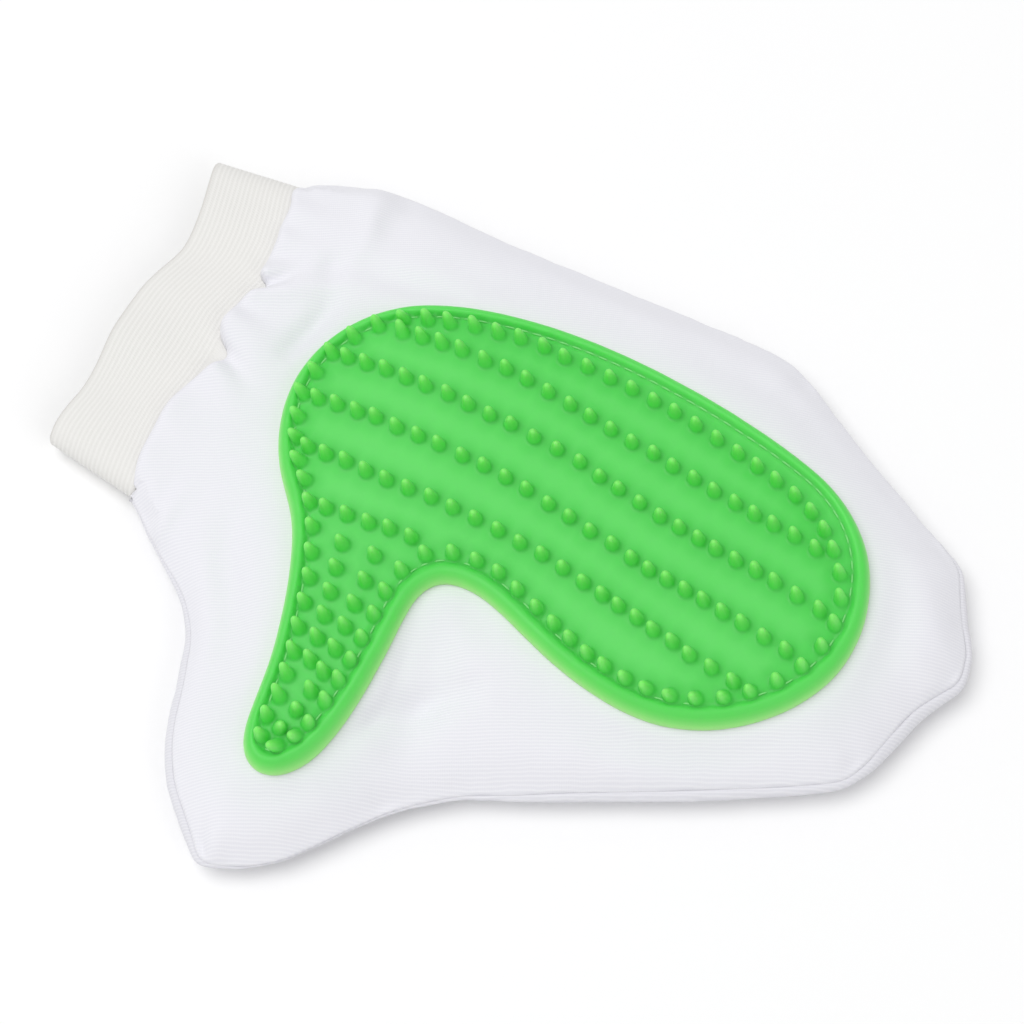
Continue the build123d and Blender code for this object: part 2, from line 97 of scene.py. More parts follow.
def even(P, closed, step):
    """A run of points at even spacing."""
    Q = np.vstack([P, P[:1]]) if closed else arr(P)
    s = np.r_[0, np.cumsum(np.linalg.norm(np.diff(Q, axis=0), axis=1))]
    t = np.linspace(0, s[-1], int(round(s[-1] / step)) + 1)
    return np.column_stack([np.interp(t[:-1] if closed else t, s, Q[:, k]) for k in range(Q.shape[1])])


def curve(points, closed, step):
    """A smooth curve through points, evenly spaced."""
    P = arr(points)
    Q = np.vstack([P[-1:], P, P[:2]]) if closed else np.vstack([2 * P[:1] - P[1:2], P, 2 * P[-1:] - P[-2:-1]])
    t, out = np.linspace(0, 1, 12, endpoint=False)[:, None], []
    for i in range(1, len(Q) - 2):
        a, b, c, d = Q[i - 1:i + 3]
        out.append(0.5 * (2 * b + (c - a) * t + (2 * a - 5 * b + 4 * c - d) * t ** 2 + (3 * b - a - 3 * c + d) * t ** 3))
    return even(np.vstack(out if closed else out + [P[-1:]]), closed, step)


def soften(v, sigma, closed=False):
    """Gaussian smoothing of a run of values or points, sigma in samples; open runs keep their ends."""
    v = arr(v)
    n = int(3 * sigma) + 1
    k = np.exp(-0.5 * (np.arange(-n, n + 1) / sigma) ** 2)
    k /= k.sum()
    if closed:
        w = np.concatenate([v[-n:], v, v[:n]])
    else:
        w = np.concatenate([2 * v[:1] - v[n:0:-1], v, 2 * v[-1:] - v[-2:-n - 2:-1]])
    if w.ndim == 1:
        return np.convolve(w, k, "valid")
    return np.column_stack([np.convolve(w[:, j], k, "valid") for j in range(w.shape[1])])


GX, GY = np.arange(-120.0, 121.0), np.arange(-170.0, 141.0)
GRID = np.stack(np.meshgrid(GX, GY), -1).reshape(-1, 2)


def blurred(Z, sigma):
    Z = np.apply_along_axis(lambda r: soften(r, sigma), 0, Z)
    return np.apply_along_axis(lambda r: soften(r, sigma), 1, Z)


class Field:
    """Values on the grid, read between its points with a smooth cubic."""

    def __init__(self, Z):
        self.Z = Z

    def __call__(self, P):
        P = arr(P)
        fx = np.clip(P[:, 0] - GX[0], 1, len(GX) - 3.001)
        fy = np.clip(P[:, 1] - GY[0], 1, len(GY) - 3.001)
        ix, iy = fx.astype(int), fy.astype(int)
        u, v = fx - ix, fy - iy

        def w(t):
            return [-0.5 * t + t * t - 0.5 * t ** 3, 1 - 2.5 * t * t + 1.5 * t ** 3, 0.5 * t + 2 * t * t - 1.5 * t ** 3,
                    -0.5 * t * t + 0.5 * t ** 3]
        wu, wv = w(u), w(v)
        return sum(wv[j] * sum(wu[i] * self.Z[iy + j - 1, ix + i - 1] for i in range(4)) for j in range(4))


def noise(P, scale, seed):
    """Soft noise from -1 to 1, one bump about every scale mm."""
    rng = np.random.default_rng(seed)
    out = np.zeros(len(P))
    for _ in range(18):
        a, f, p = rng.uniform(0, 2 * np.pi), rng.uniform(0.6, 1.4) / scale, rng.uniform(0, 2 * np.pi)
        out += np.sin(2 * np.pi * f * (P[:, 0] * np.cos(a) + P[:, 1] * np.sin(a)) / 1.6 + p)
    return out / 6.0


def to_line(P, line):
    """Distance from a polyline, side (+ on the left) and how far along, from 0 to 1."""
    L = arr(line)
    seg = np.linalg.norm(np.diff(L, axis=0), axis=1)
    at, total = np.r_[0, np.cumsum(seg)], seg.sum()
    best, side, along_ = np.full(len(P), 1e9), np.zeros(len(P)), np.zeros(len(P))
    for i, (a, b) in enumerate(zip(L, L[1:])):
        d = b - a
        t = np.clip(((P - a) @ d) / (d @ d), 0, 1)
        q = P - a - t[:, None] * d
        r = np.linalg.norm(q, axis=1)
        near = r < best
        best = np.where(near, r, best)
        side = np.where(near, np.sign(d[0] * q[:, 1] - d[1] * q[:, 0]), side)
        along_ = np.where(near, (at[i] + t * seg[i]) / total, along_)
    return best, side, np.clip(along_, 0, 1)


OUT = soften(curve(SEAM, False, 1.2), 1.3)
SKIRT = [tuple(p) for p in OUT[1:-1]] + [(15.8, -92.0), (12.4, -115.0), (11.0, -175.0), (-77.0, -175.0),
                                         (-78.0, -115.0), (-81.0, -93.5)]
GD = signed(GRID, SKIRT).reshape(len(GY), len(GX))
GT = step01(GRID[:, 1].reshape(GD.shape), WRIST_Y, PALM_Y)
RISE, ROLL = WRIST_RISE + (PALM_RISE - WRIST_RISE) * GT, WRIST_ROLL + (PALM_ROLL - WRIST_ROLL) * GT
up = np.where(GD > 0, RISE * (1 - np.exp(-np.maximum(GD, 0) / ROLL)), RISE * GD / ROLL)
up = np.maximum(up, -14)
mixed = step01(GD, 4, 16)
DIST, PALM = Field(GD), Field(SEAM_Z + up * (1 - mixed) + blurred(up, 5.0) * mixed)
LOWROLL = 3.0 + (BACK_ROLL - 3.0) * GT
down = np.where(GD > 0, BACK_DROP * (1 - np.exp(-np.maximum(GD, 0) / LOWROLL)), BACK_DROP * GD / LOWROLL)
BACK = Field(blurred(np.maximum(0.0, SEAM_Z - down), 1.2))

# Outline of the pad, and the foot of each nub with the sideways parts of its axis.
PAD = [
       (-55.9, -48.3), (-57.9, -44.7), (-59.6, -40.9), (-61.1, -37), (-62.4, -33.1), (-63.5, -29.1), (-64.5, -25), (-65.3, -21), (-66, -16.9),
       (-66.6, -12.7), (-67, -8.6), (-67.3, -4.5), (-67.5, -0.3), (-67.5, 3.9), (-67.5, 8), (-67.3, 12.2), (-67.1, 16.4), (-66.7, 20.5),
       (-66.3, 24.7), (-65.9, 28.8), (-65.3, 32.9), (-64.8, 37), (-64.1, 41), (-63.5, 45), (-62.8, 49), (-62, 53), (-61.1, 56.9),
       (-60.1, 60.8), (-58.8, 64.7), (-57.1, 68.3), (-54.9, 71.9), (-52.4, 75.1), (-49.4, 78.1), (-46, 80.8), (-42.3, 83), (-38.4, 84.8),
       (-34.4, 86.1), (-30.3, 87.1), (-26.2, 87.6), (-22.1, 87.6), (-18.1, 87.2), (-14.2, 86.3), (-10.4, 84.9), (-6.9, 83.1), (-3.6, 81),
       (-0.5, 78.6), (2.3, 75.9), (4.9, 73.1), (7.3, 70), (9.4, 66.8), (11.3, 63.4), (12.8, 59.9), (14.1, 56.2), (15, 52.5),
       (15.5, 48.7), (15.7, 44.9), (15.6, 41), (15.2, 37.2), (14.7, 33.4), (13.9, 29.5), (13, 25.8), (11.9, 22), (10.6, 18.3),
       (9.3, 14.5), (7.9, 10.8), (6.7, 7), (5.7, 3.1), (5.3, -0.8), (5.7, -4.5), (7.1, -7.7), (9.7, -9.8), (13.2, -11),
       (17.2, -11.3), (21.2, -11.3), (25.2, -11.2), (29.1, -11.2), (33.1, -11.3), (37, -11.4), (40.9, -11.7), (44.7, -12.1), (48.5, -12.7),
       (52.2, -13.5), (55.9, -14.6), (59.3, -16.1), (62.3, -18.2), (64.7, -20.8), (66, -24), (65.7, -27.2), (63.9, -30), (61, -31.9),
       (57.4, -33.1), (53.6, -33.7), (49.7, -34.2), (45.7, -34.7), (41.8, -35.3), (37.8, -36.1), (33.9, -37.1), (29.9, -38.2), (25.9, -39.4),
       (22, -40.7), (18.1, -42.2), (14.1, -43.9), (10.3, -45.8), (6.6, -48.1), (3.2, -50.8), (-0.2, -53.8), (-3.7, -56.7), (-7.5, -59.2),
       (-11.5, -61.3), (-15.7, -62.9), (-20, -64.1), (-24.3, -64.7), (-28.6, -64.8), (-32.9, -64.3), (-37, -63.3), (-40.8, -61.8), (-44.5, -59.8),
       (-47.8, -57.4), (-50.8, -54.7), (-53.5, -51.6)]
NUBS = [
       (-6.6, -52.2, 0.03, -0.39), (-12, -55.7, 0.08, -0.35), (-17.2, -58.1, 0.01, -0.35), (-23.3, -59.9, -0.01, -0.44), (-29.8, -59.8, -0.02, -0.37), (-36, -58.5, -0.05, -0.39),
       (-42.1, -55.6, -0.06, -0.36), (-47.2, -51.5, -0.08, -0.33), (-51.6, -46.7, 0.08, -0.25), (-53.7, -41, -0.07, -0.3), (-55.2, -35.6, -0.07, -0.32), (-56.9, -29.5, -0.07, -0.3),
       (-57.9, -23.5, -0.03, -0.26), (-59, -17.9, -0.02, -0.23), (-59.5, -11.7, 0, -0.19), (-59.1, -5.9, 0.02, -0.17), (-59.2, 0.3, 0.04, -0.16), (-58.9, 6.5, 0.03, -0.13),
       (-58.6, 12.6, 0.04, -0.14), (-58, 18.8, 0.04, -0.14), (-57.5, 24.6, 0.03, -0.14), (-56.6, 30.7, 0.04, -0.15), (-55.4, 36.9, 0.02, -0.18), (-54.3, 43, 0.02, -0.19),
       (-53.2, 48.6, 0, -0.21), (-51.9, 54.2, -0.01, -0.22), (-50.4, 59.9, -0.01, -0.23), (-48.2, 65.1, -0.03, -0.25), (-45.2, 69.8, -0.05, -0.27), (-41.3, 73.8, -0.06, -0.28),
       (-36.4, 77.5, -0.07, -0.3), (-30.6, 80.2, -0.09, -0.3), (-24.3, 81.3, -0.04, -0.27), (-17.9, 80.7, 0, -0.18), (-11.5, 78.4, 0.03, -0.17), (-5.7, 74.7, 0.04, -0.23),
       (-0.8, 70, 0.13, -0.2), (3.1, 65, 0.2, -0.21), (6.2, 59.2, 0.21, -0.24), (8.2, 53.6, 0.22, -0.27), (9.2, 48, 0.15, -0.28), (9.3, 42.5, 0.1, -0.27),
       (8.8, 36.9, 0.03, -0.26), (8, 32, 0.03, -0.24), (6.5, 26.8, 0.03, -0.22), (4.9, 21.8, 0.02, -0.21), (3.1, 16.4, 0.03, -0.18), (1.1, 10.4, 0.02, -0.18),
       (-0.8, 4.5, 0.03, -0.17), (-1.2, -1.5, 0.03, -0.17), (-0.4, -7.5, 0.01, -0.17), (2.7, -13.2, 0.01, -0.2), (8.9, -16.4, -0.02, -0.22), (15.3, -17.4, -0.03, -0.22),
       (21.6, -17.4, -0.05, -0.15), (28.1, -17.4, -0.08, -0.09), (33.9, -17.5, -0.08, -0), (39.5, -17.5, -0.13, -0.18), (45.3, -18.1, -0.13, -0.14), (51.5, -19.4, -0.06, 0.02),
       (55.3, -20.8, 0.27, -0.06), (59.2, -23.5, 0.34, -0.22), (59, -27.6, -0.03, -0.21), (54.2, -28.7, -0.13, -0.18), (48.8, -28.2, -0.2, -0.36), (43.4, -29, -0.17, -0.33),
       (37.8, -30.1, -0.14, -0.32), (31.9, -32, -0.11, -0.29), (25.8, -33.6, -0.07, -0.27), (19.7, -35.5, -0.06, -0.26), (13.8, -38.1, -0.05, -0.25), (7.9, -41, -0.03, -0.23),
       (2.3, -44.6, -0.01, -0.27), (-2.6, -48.5, 0.04, -0.31), (-47.9, -45.1, -0.17, -0.35), (-48.6, -39.9, -0.05, -0.3), (-49.1, -34.7, -0.06, -0.29), (-49.5, -29.4, -0.04, -0.28),
       (-49.4, -23, -0.03, -0.24), (-49.7, -17.4, 0, -0.17), (-49.4, -11.6, 0.03, -0.15), (-48.6, -5.4, 0.03, -0.12), (-47.9, 0.9, 0.06, -0.12), (-47.1, 6.6, 0.05, -0.11),
       (-46.2, 12.6, 0.05, -0.1), (-45.3, 18.6, 0.05, -0.1), (-45, 24.6, 0.06, -0.11), (-43.9, 30.2, 0.05, -0.12), (-43.2, 36.2, 0.04, -0.15), (-42.4, 41.9, 0.02, -0.18),
       (-41.8, 47.8, 0.01, -0.2), (-41.2, 53.1, 0, -0.22), (-40.8, 58.3, -0.02, -0.24), (-40.4, 64, -0.03, -0.26), (-39.6, 69.9, -0.04, -0.28), (-36.4, -54.4, -0, -0.29),
       (-36.6, -49.3, -0.01, -0.27), (-37, -44, -0.01, -0.26), (-36.9, -38.5, -0.02, -0.25), (-37, -33.1, -0.01, -0.24), (-37.2, -27.1, -0, -0.21), (-36.9, -21.5, 0.02, -0.14),
       (-36.7, -15.6, 0.04, -0.1), (-36.8, -9.9, 0.07, -0.06), (-36.1, -3.3, 0.07, -0.08), (-35.7, 3.1, 0.07, -0.08), (-35.1, 9.5, 0.08, -0.08), (-33.7, 15.4, 0.09, -0.06),
       (-32.8, 20.9, 0.08, -0.08), (-31.7, 27, 0.07, -0.09), (-30.6, 32.9, 0.04, -0.13), (-30, 38.3, 0.03, -0.16), (-29.4, 43.7, 0.02, -0.2), (-28.8, 48.4, 0.01, -0.21),
       (-28.3, 53.9, 0, -0.23), (-28, 59.3, -0.02, -0.26), (-27.4, 64.5, -0.03, -0.27), (-26.5, 70.6, -0.04, -0.28), (-25.7, 76.9, -0.06, -0.29), (-23.4, -55.8, -0.01, -0.31),
       (-23.7, -50.7, -0.02, -0.26), (-23.9, -45.2, -0.01, -0.26), (-24.3, -40.3, 0, -0.23), (-23.9, -34.4, -0.01, -0.23), (-24.1, -28.7, 0.02, -0.18), (-24.2, -23.2, 0.03, -0.15),
       (-24, -16.7, 0.05, -0.13), (-24, -10.9, 0.05, -0.11), (-23.5, -4.8, 0.05, -0.11), (-22.9, 1.1, 0.05, -0.11), (-21.8, 7.5, 0.07, -0.11), (-21, 13.4, 0.07, -0.1),
       (-19.9, 19.4, 0.06, -0.1), (-19.2, 25.6, 0.06, -0.12), (-17.9, 31.3, 0.05, -0.15), (-17.1, 36.2, 0.03, -0.17), (-16.7, 41.2, 0.03, -0.2), (-16.2, 46.2, 0.01, -0.23),
       (-15.8, 51.1, 0.01, -0.24), (-15.1, 56.4, 0.01, -0.26), (-14.6, 61.7, -0.01, -0.26), (-13.8, 67.7, -0, -0.25), (-13.2, 73.6, -0.01, -0.25), (-10.7, -51.9, 0.02, -0.28),
       (-10.6, -46.9, -0.01, -0.24), (-10.8, -41.5, -0.02, -0.24), (-10.4, -35.9, -0.01, -0.22), (-10.4, -30.3, -0, -0.2), (-10.6, -24.6, 0.01, -0.17), (-11, -18.6, 0.03, -0.17),
       (-10.8, -12.7, 0.03, -0.16), (-10.7, -6.6, 0.04, -0.14), (-10.4, -0.4, 0.03, -0.14), (-9.8, 5.7, 0.04, -0.13), (-9.5, 11.7, 0.05, -0.14), (-8.5, 17.7, 0.05, -0.14),
       (-7.4, 23.6, 0.05, -0.17), (-6.6, 29, 0.03, -0.2), (-5.8, 33.6, 0.03, -0.21), (-5, 38.8, 0.03, -0.24), (-4, 43.5, 0.03, -0.26), (-3.4, 48.8, 0.04, -0.28),
       (-2.3, 53.7, 0.04, -0.28), (-1.8, 59.6, 0.04, -0.28), (-1.1, 65.6, 0.04, -0.29), (2.1, -40.2, -0.01, -0.23), (1.7, -34.8, -0.01, -0.21), (1.4, -29.1, -0.02, -0.2),
       (0.6, -23.9, -0.01, -0.2), (0.3, -18.2, 0.01, -0.19), (8.9, -32.4, -0.03, -0.22), (8.3, -23.9, -0.02, -0.21), (15, -30.8, -0.04, -0.23), (15, -23, -0.04, -0.24),
       (21, -29.2, -0.05, -0.25), (21.3, -22.6, -0.06, -0.26), (26.8, -27.7, -0.08, -0.27), (27.2, -22, -0.09, -0.26), (32.5, -26.6, -0.11, -0.29), (33.1, -21.5, -0.11, -0.29),
       (38.1, -25.4, -0.14, -0.32), (39.3, -21.5, -0.13, -0.24), (44.6, -22.1, -0.14, -0.2), (50, -23.2, -0.04, -0.04), (55.4, -24.9, 0, 0.14)]
RIM = [(0.45, -0.1), (0.12, 0.1), (0.0, 0.6), (0.04, 1.2), (0.2, 1.9), (0.55, 2.7), (1.1, 3.45), (1.8, 3.95), (2.6, 4.15),
       (3.3, 4.05)]                       # from the pad's edge inwards, and how high over the cloth, at full width
FALL = [(3.3, 4.05), (3.8, 3.8), (4.2, 3.4), (4.5, 3.0), (4.75, 2.65), (5.0, 2.45), (5.3, 2.38), (5.7, 2.42), (6.2, 2.62),
        (6.9, 2.75), (9.0, 2.75), (200, 2.75)]
NUB = [(2.45, 0.0), (2.1, 0.07), (1.84, 0.24), (1.66, 0.6), (1.55, 1.15), (1.45, 1.8), (1.34, 2.5), (1.21, 3.2),
       (1.07, 3.85), (0.9, 4.4), (0.67, 4.84), (0.38, 5.11), (0.0, 5.2)]
SHEET = 2.75
LIP, LAP = 2.4, 6.0                       # roundness of the cloth at the elastic; how far the elastic runs on inside
CUFF_TOP, CUFF_FOOT, WALL, RIBS = 10.5, 0.3, 1.15, 20
CLOTH_EDGE = [(-80.8, -91.3), (-78.4, -92.2), (-75.5, -92.1), (-71.3, -90.4), (-65.2, -90.0), (-61.4, -89.0), (-54.9, -88.4),
              (-50.7, -88.1), (-48.3, -84.9), (-44.7, -87.9), (-40.5, -89.4), (-37.1, -89.9), (-33.9, -90.3), (-30.6, -88.5),
              (-27.1, -84.8), (-22.2, -87.3), (-15.5, -90.1), (-8.8, -91.9), (-0.7, -91.8), (7.1, -91.2), (13.1, -89.4),
              (16.0, -89.1)]                      # where the cloth ends on the elastic

# How far the side seam lies up over the edge of the mitt, along the outline.
SEAM_UP = [(-80.6, -91.3, 0), (-89.5, -38, 0), (-90, 41, 0), (-60.6, 96.6, 0.15), (-55.1, 101.6, 0.7),
           (-45, 109.4, 0.9), (-33, 114.6, 0.8), (-26, 113.6, 1.0), (-16, 108.8, 1.35), (-2.3, 104.3, 1.2),
           (3.2, 101.5, 0.6), (7.5, 98.2, 0.9), (22, 73.7, 1.0), (40, 37.8, 0.9), (50, 17, 0.35), (65, 0.3, 0.1),
           (85, -18, 0.15), (90, -29, 0.5), (86, -35, 1.0), (72, -48, 1.0), (48, -57, 1.0), (34, -65, 0.7),
           (27, -74.6, 0.3), (15.7, -89.5, 0.2)]
# Folds in the palm's cloth: where each runs, its height, its half-width and how much it widens.
FOLDS = [
    ([(-48.3, -85.4), (-50.4, -82.6), (-55, -79.6), (-62, -77)], -2.7, 1.5, 1.0),
    ([(-49.8, -88.5), (-52.8, -82.5), (-57.8, -77), (-65, -72)], 2.1, 2.3, 0.9),
    ([(-45.4, -87), (-48.6, -80.5), (-55, -74.5), (-63, -70)], 1.4, 2.6, 0.8),
    ([(-35.5, -89), (-34, -82), (-31, -73), (-27, -62)], 2.9, 4.6, 0.5),
    ([(-43.5, -87), (-43, -80), (-44.5, -71)], 0.9, 2.6, 0.8),
    ([(-40, -89), (-39.6, -82), (-40.5, -74)], -0.5, 2.2, 0.8),
    ([(-27.1, -86.0), (-25.4, -82), (-21.8, -76), (-16.5, -69)], -2.3, 2.1, 1.2),
    ([(-22.5, -87), (-19.5, -80), (-13, -72)], 1.7, 3.2, 0.7),
    ([(-14, -90), (-11, -82), (-5, -74)], -0.3, 3.4, 0.8),
    ([(-87, -73), (-76, -71), (-65, -68.5), (-57, -62)], 1.4, 4.5, 0.6),
    ([(-84, -63), (-75, -62), (-66, -59)], -1.1, 4.0, 0.5),
    ([(-71, -90), (-69.5, -80), (-70, -70)], 0.8, 3.2, 0.8),
    ([(-76, -92), (-76, -83), (-77, -76)], -0.5, 2.6, 0.8),
    ([(-61.5, -89), (-63.5, -80), (-69, -72)], 0.9, 3.0, 0.8),
    ([(-66, -90), (-66.5, -82), (-69, -76)], -0.6, 2.0, 1.0),
    ([(-56.2, -88.4), (-58.5, -82), (-64, -78)], -0.6, 1.7, 0.9),
    ([(-8, -92), (-4, -84), (2, -75)], 0.7, 4.2, 0.5),
    ([(-1.5, -91.5), (2, -85), (7, -79)], -0.3, 3.0, 0.8),
    ([(4.5, -91), (8, -84), (13, -77)], 0.4, 3.4, 0.7),
    ([(21.6, -82.6), (15.1, -80.4), (7.7, -78.6), (-1, -76)], -0.7, 2.2, 0.8),
    ([(26, -77.6), (16.5, -77.1), (10.6, -76.8), (2, -75.5)], 1.5, 2.0, 0.7),
    ([(12.6, -90), (14, -86), (16.5, -83)], -0.6, 1.6, 0.8),
    ([(-60, -72), (-50, -68), (-41, -67.5), (-34, -70)], -1.2, 3.4, 0.4),
]
# Broad valleys and swells; these fade at both ends.
SWELLS = [
    ([(-86, -70.5), (-78.3, -69.2), (-72.5, -67.6), (-64, -66)], 1.0, 3.0),
    ([(-63, -68), (-62.9, -55.5), (-64.4, -46), (-65.2, -34)], -1.5, 4.2),
    ([(-53, -66), (-43, -68.4), (-37, -70), (-30, -71.5)], -1.9, 3.0),
    ([(-45, -84), (-50.4, -76), (-54.7, -69.6), (-60, -63)], 0.9, 2.8),
    ([(6, -13.5), (14.5, -11.7), (23.2, -10), (32.8, -6.9), (39, -5.5)], -1.6, 4.2),
    ([(35, -4.5), (44.8, -9.6), (51.7, -12.6), (61, -16.5)], -1.2, 3.6),
    ([(5, -4), (11.7, -2.5), (17.4, 2), (25, 10)], 1.2, 4.4),
    ([(7, -2), (22, -0.5), (39, 1.5), (54, 3)], -3.1, 7.0),
    ([(46, -11), (38, -2), (29, 7), (24, 15)], -2.2, 4.2),
    ([(62, -12), (69, -21), (70, -31)], -0.8, 4.0),
    ([(8, -62.5), (18.6, -59.3), (26.3, -54.3), (35, -49), (47, -44)], -1.4, 4.4),
    ([(16, -67), (24, -63), (33, -58.5), (42, -53.5), (57, -48)], 0.9, 3.6),
    ([(28, 14), (24, 34), (21, 54), (13, 72), (2, 88)], -0.9, 4.5),
    ([(40, 14), (33, 32), (27, 50), (19, 68), (8, 88)], 0.7, 5.0),
    ([(-58, 86), (-46, 97), (-32, 104), (-18, 102)], 0.8, 5.0),
    ([(-50, 84), (-38, 93), (-24, 95), (-10, 92)], -0.8, 4.0),
    ([(-76, 20), (-77, 38), (-74, 54), (-66, 68)], -0.6, 4.0),
    ([(-83, -30), (-82, -10), (-83, 12), (-83, 34)], 0.5, 4.0),
    ([(-76, -52), (-72, -38), (-75, -22)], -0.6, 4.5),
]
# Tight puckers at the thumb's corner and along the seam.
PUCKERS = [
    ([(90, -29.2), (86.3, -30.4), (83.1, -31.4), (79, -32.6)], -2.3, 1.7),
    ([(89, -25), (84, -26.5), (79, -27.5)], 0.8, 2.4),
    ([(87, -35), (82, -35.5), (77, -35)], 0.8, 2.4),
    ([(-28.5, 115), (-30, 108), (-33, 101)], -0.9, 2.2),
    ([(-22, 112), (-25, 106), (-27, 99)], 0.7, 3.0),
    ([(3, 101.5), (-1, 96), (-4, 89)], -0.7, 3.0),
    ([(-86, 50), (-80, 47), (-73, 46)], -0.6, 2.6),
    ([(-60, 97), (-56, 92), (-52, 87)], -0.6, 2.6),
    ([(60, 5), (56, -1), (53, -7)], -0.6, 2.6),
]
BACK_FOLDS = [
    ([(-70, -90), (-64, -76), (-60, -58), (-58, -40)], 2.6, 3.0, 1.2),
    ([(-52, -88), (-50, -74), (-44, -60)], 2.2, 2.6, 1.0),
    ([(-40, -89), (-40, -72), (-36, -54), (-38, -34)], 2.9, 3.2, 1.2),
    ([(-27, -90), (-24, -76), (-16, -62)], 2.2, 2.6, 1.0),
    ([(-14, -91), (-8, -76), (2, -62), (14, -50)], 2.8, 3.0, 1.2),
    ([(-2, -91), (4, -80), (14, -70)], 2.0, 2.4, 1.0),
    ([(8, -90), (14, -80), (22, -72)], 1.6, 2.0, 1.0),
    ([(-62, -89), (-60, -80), (-55, -70)], 1.4, 1.8, 1.0),
]
BACK_SWELLS = [
    ([(-86, -70.5), (-78.3, -69.2), (-72.5, -67.6), (-64, -66)], 1.0, 3.0),
    ([(-63, -68), (-62.9, -55.5), (-64.4, -46), (-65.2, -34)], -1.5, 4.2),
    ([(-53, -66), (-43, -68.4), (-37, -70), (-30, -71.5)], -1.9, 3.0),
    ([(-45, -84), (-50.4, -76), (-54.7, -69.6), (-60, -63)], 0.9, 2.8),
    ([(6, -13.5), (14.5, -11.7), (23.2, -10), (32.8, -6.9), (39, -5.5)], -1.6, 4.2),
    ([(35, -4.5), (44.8, -9.6), (51.7, -12.6), (61, -16.5)], -1.2, 3.6),
    ([(5, -4), (11.7, -2.5), (17.4, 2), (25, 10)], 1.2, 4.4),
    ([(20, -6), (36, 2), (52, 4), (66, -4)], 2.4, 6.0),
    ([(2, -8), (14, -18), (30, -26), (52, -28)], 1.8, 5.0),
    ([(-70, -30), (-62, 0), (-58, 30), (-50, 58)], 1.6, 7.0),
    ([(-40, 10), (-30, 34), (-24, 62), (-28, 88)], 1.5, 6.0),
    ([(6, 10), (4, 36), (-4, 62), (-14, 84)], 1.9, 6.5),
    ([(-20, -40), (-14, -20), (-12, 4)], 1.5, 6.0),
    ([(-56, 78), (-44, 90), (-30, 96)], 1.3, 4.5),
]


def folded(P, folds, swells, puckers=()):
    """Height of the folds, swells and puckers at plan points."""
    out = np.zeros(len(P))
    for line, height, width, spread in folds:
        L = curve(line, False, 1.5)
        r, _, f = to_line(P, L)
        out += height * (1 - f) ** 1.3 * bump(r, width * (1 + spread * f))
    for line, height, width in swells:
        r, _, f = to_line(P, curve(line, False, 2.0))
        out += height * np.sin(np.pi * np.clip(f, 0.02, 0.98)) ** 0.8 * bump(r, width)
    for line, height, width in puckers:
        r, _, f = to_line(P, curve(line, False, 1.0))
        out += height * (1 - f) * bump(r, width)
    return out


# The cloth's edge at the elastic, and its distance from any point, positive inside the mitt.
MOUTH_RUN = soften(curve(CLOTH_EDGE, False, 0.7), 0.9)


def past_mouth(P):
    return P[:, 1] - np.interp(P[:, 0], MOUTH_RUN[:, 0], MOUTH_RUN[:, 1])


def cuff_rise(x, left=-80.2, right=15.6):
    """How open the cuff stands at x, from 0 at its side folds to 1."""
    d = np.minimum(x - left, right - x)
    return np.sqrt(np.clip(1 - (1 - np.clip(d / 7.0, 0, 1)) ** 2, 0, 1))


PAD_RING = soften(curve(PAD, True, 1.0), 1.2, True)
PAD_SIDE = np.roll(PAD_RING, -1, 0) - np.roll(PAD_RING, 1, 0)
PAD_SIDE /= np.linalg.norm(PAD_SIDE, axis=1)[:, None]
turn = 1 if np.sum(PAD_RING[:, 0] * np.roll(PAD_RING[:, 1], -1) - np.roll(PAD_RING[:, 0], -1) * PAD_RING[:, 1]) > 0 else -1
PAD_OUT = turn * np.column_stack([PAD_SIDE[:, 1], -PAD_SIDE[:, 0]])
RIM_SCALE = soften((3.7 + 1.5 * step01(PAD_OUT @ arr([0.83, 0.55]), -0.6, 0.8)) / 5.2, 6.0, True)
pad_d = signed(GRID, PAD_RING).reshape(GD.shape)
PAD_D = Field(pad_d)


def palm_z(P):
    """Height of the palm's cloth, folds included."""
    d, q = DIST(P), PAD_D(P)
    open_ = step01(-q, -1.5, 5.0)                        # flat under the pad
    z = PALM(P) + folded(P, FOLDS, SWELLS, PUCKERS) * open_
    z += noise(P, 15, 3) * 0.22 * step01(d, 3, 10) * open_ + noise(P, 7, 4) * 0.07 * step01(d, 2, 6) * open_
    z -= 0.25 * bump(q + 0.3, 1.6)                       # drawn in where the pad is sewn on
    b = past_mouth(P)
    z += 1.7 * bump(np.maximum(b, 0), 15.0) * step01(d, 1.0, 6.0)
    low = CUFF_TOP + 0.95
    return np.where((b < 9) & (d > 4) & (z < low + 0.8), low + 0.8 * np.exp((z - low - 0.8) / 0.8), z)


def back_z(P):
    """Height of the back's cloth where it lies on the table."""
    d = DIST(P)
    lift = folded(P, BACK_FOLDS, BACK_SWELLS) * step01(d, 2.0, 9.0)
    soft = np.maximum(0, noise(P, 26, 11)) * 0.9 * step01(d, 6, 14) + np.maximum(0, noise(P, 11, 12)) * 0.25 * step01(d, 4, 9)
    return BACK(P) + np.maximum(0, lift) + soft


# ---- the edge where the two panels meet ----------------------------------
STEP_A = 0.1


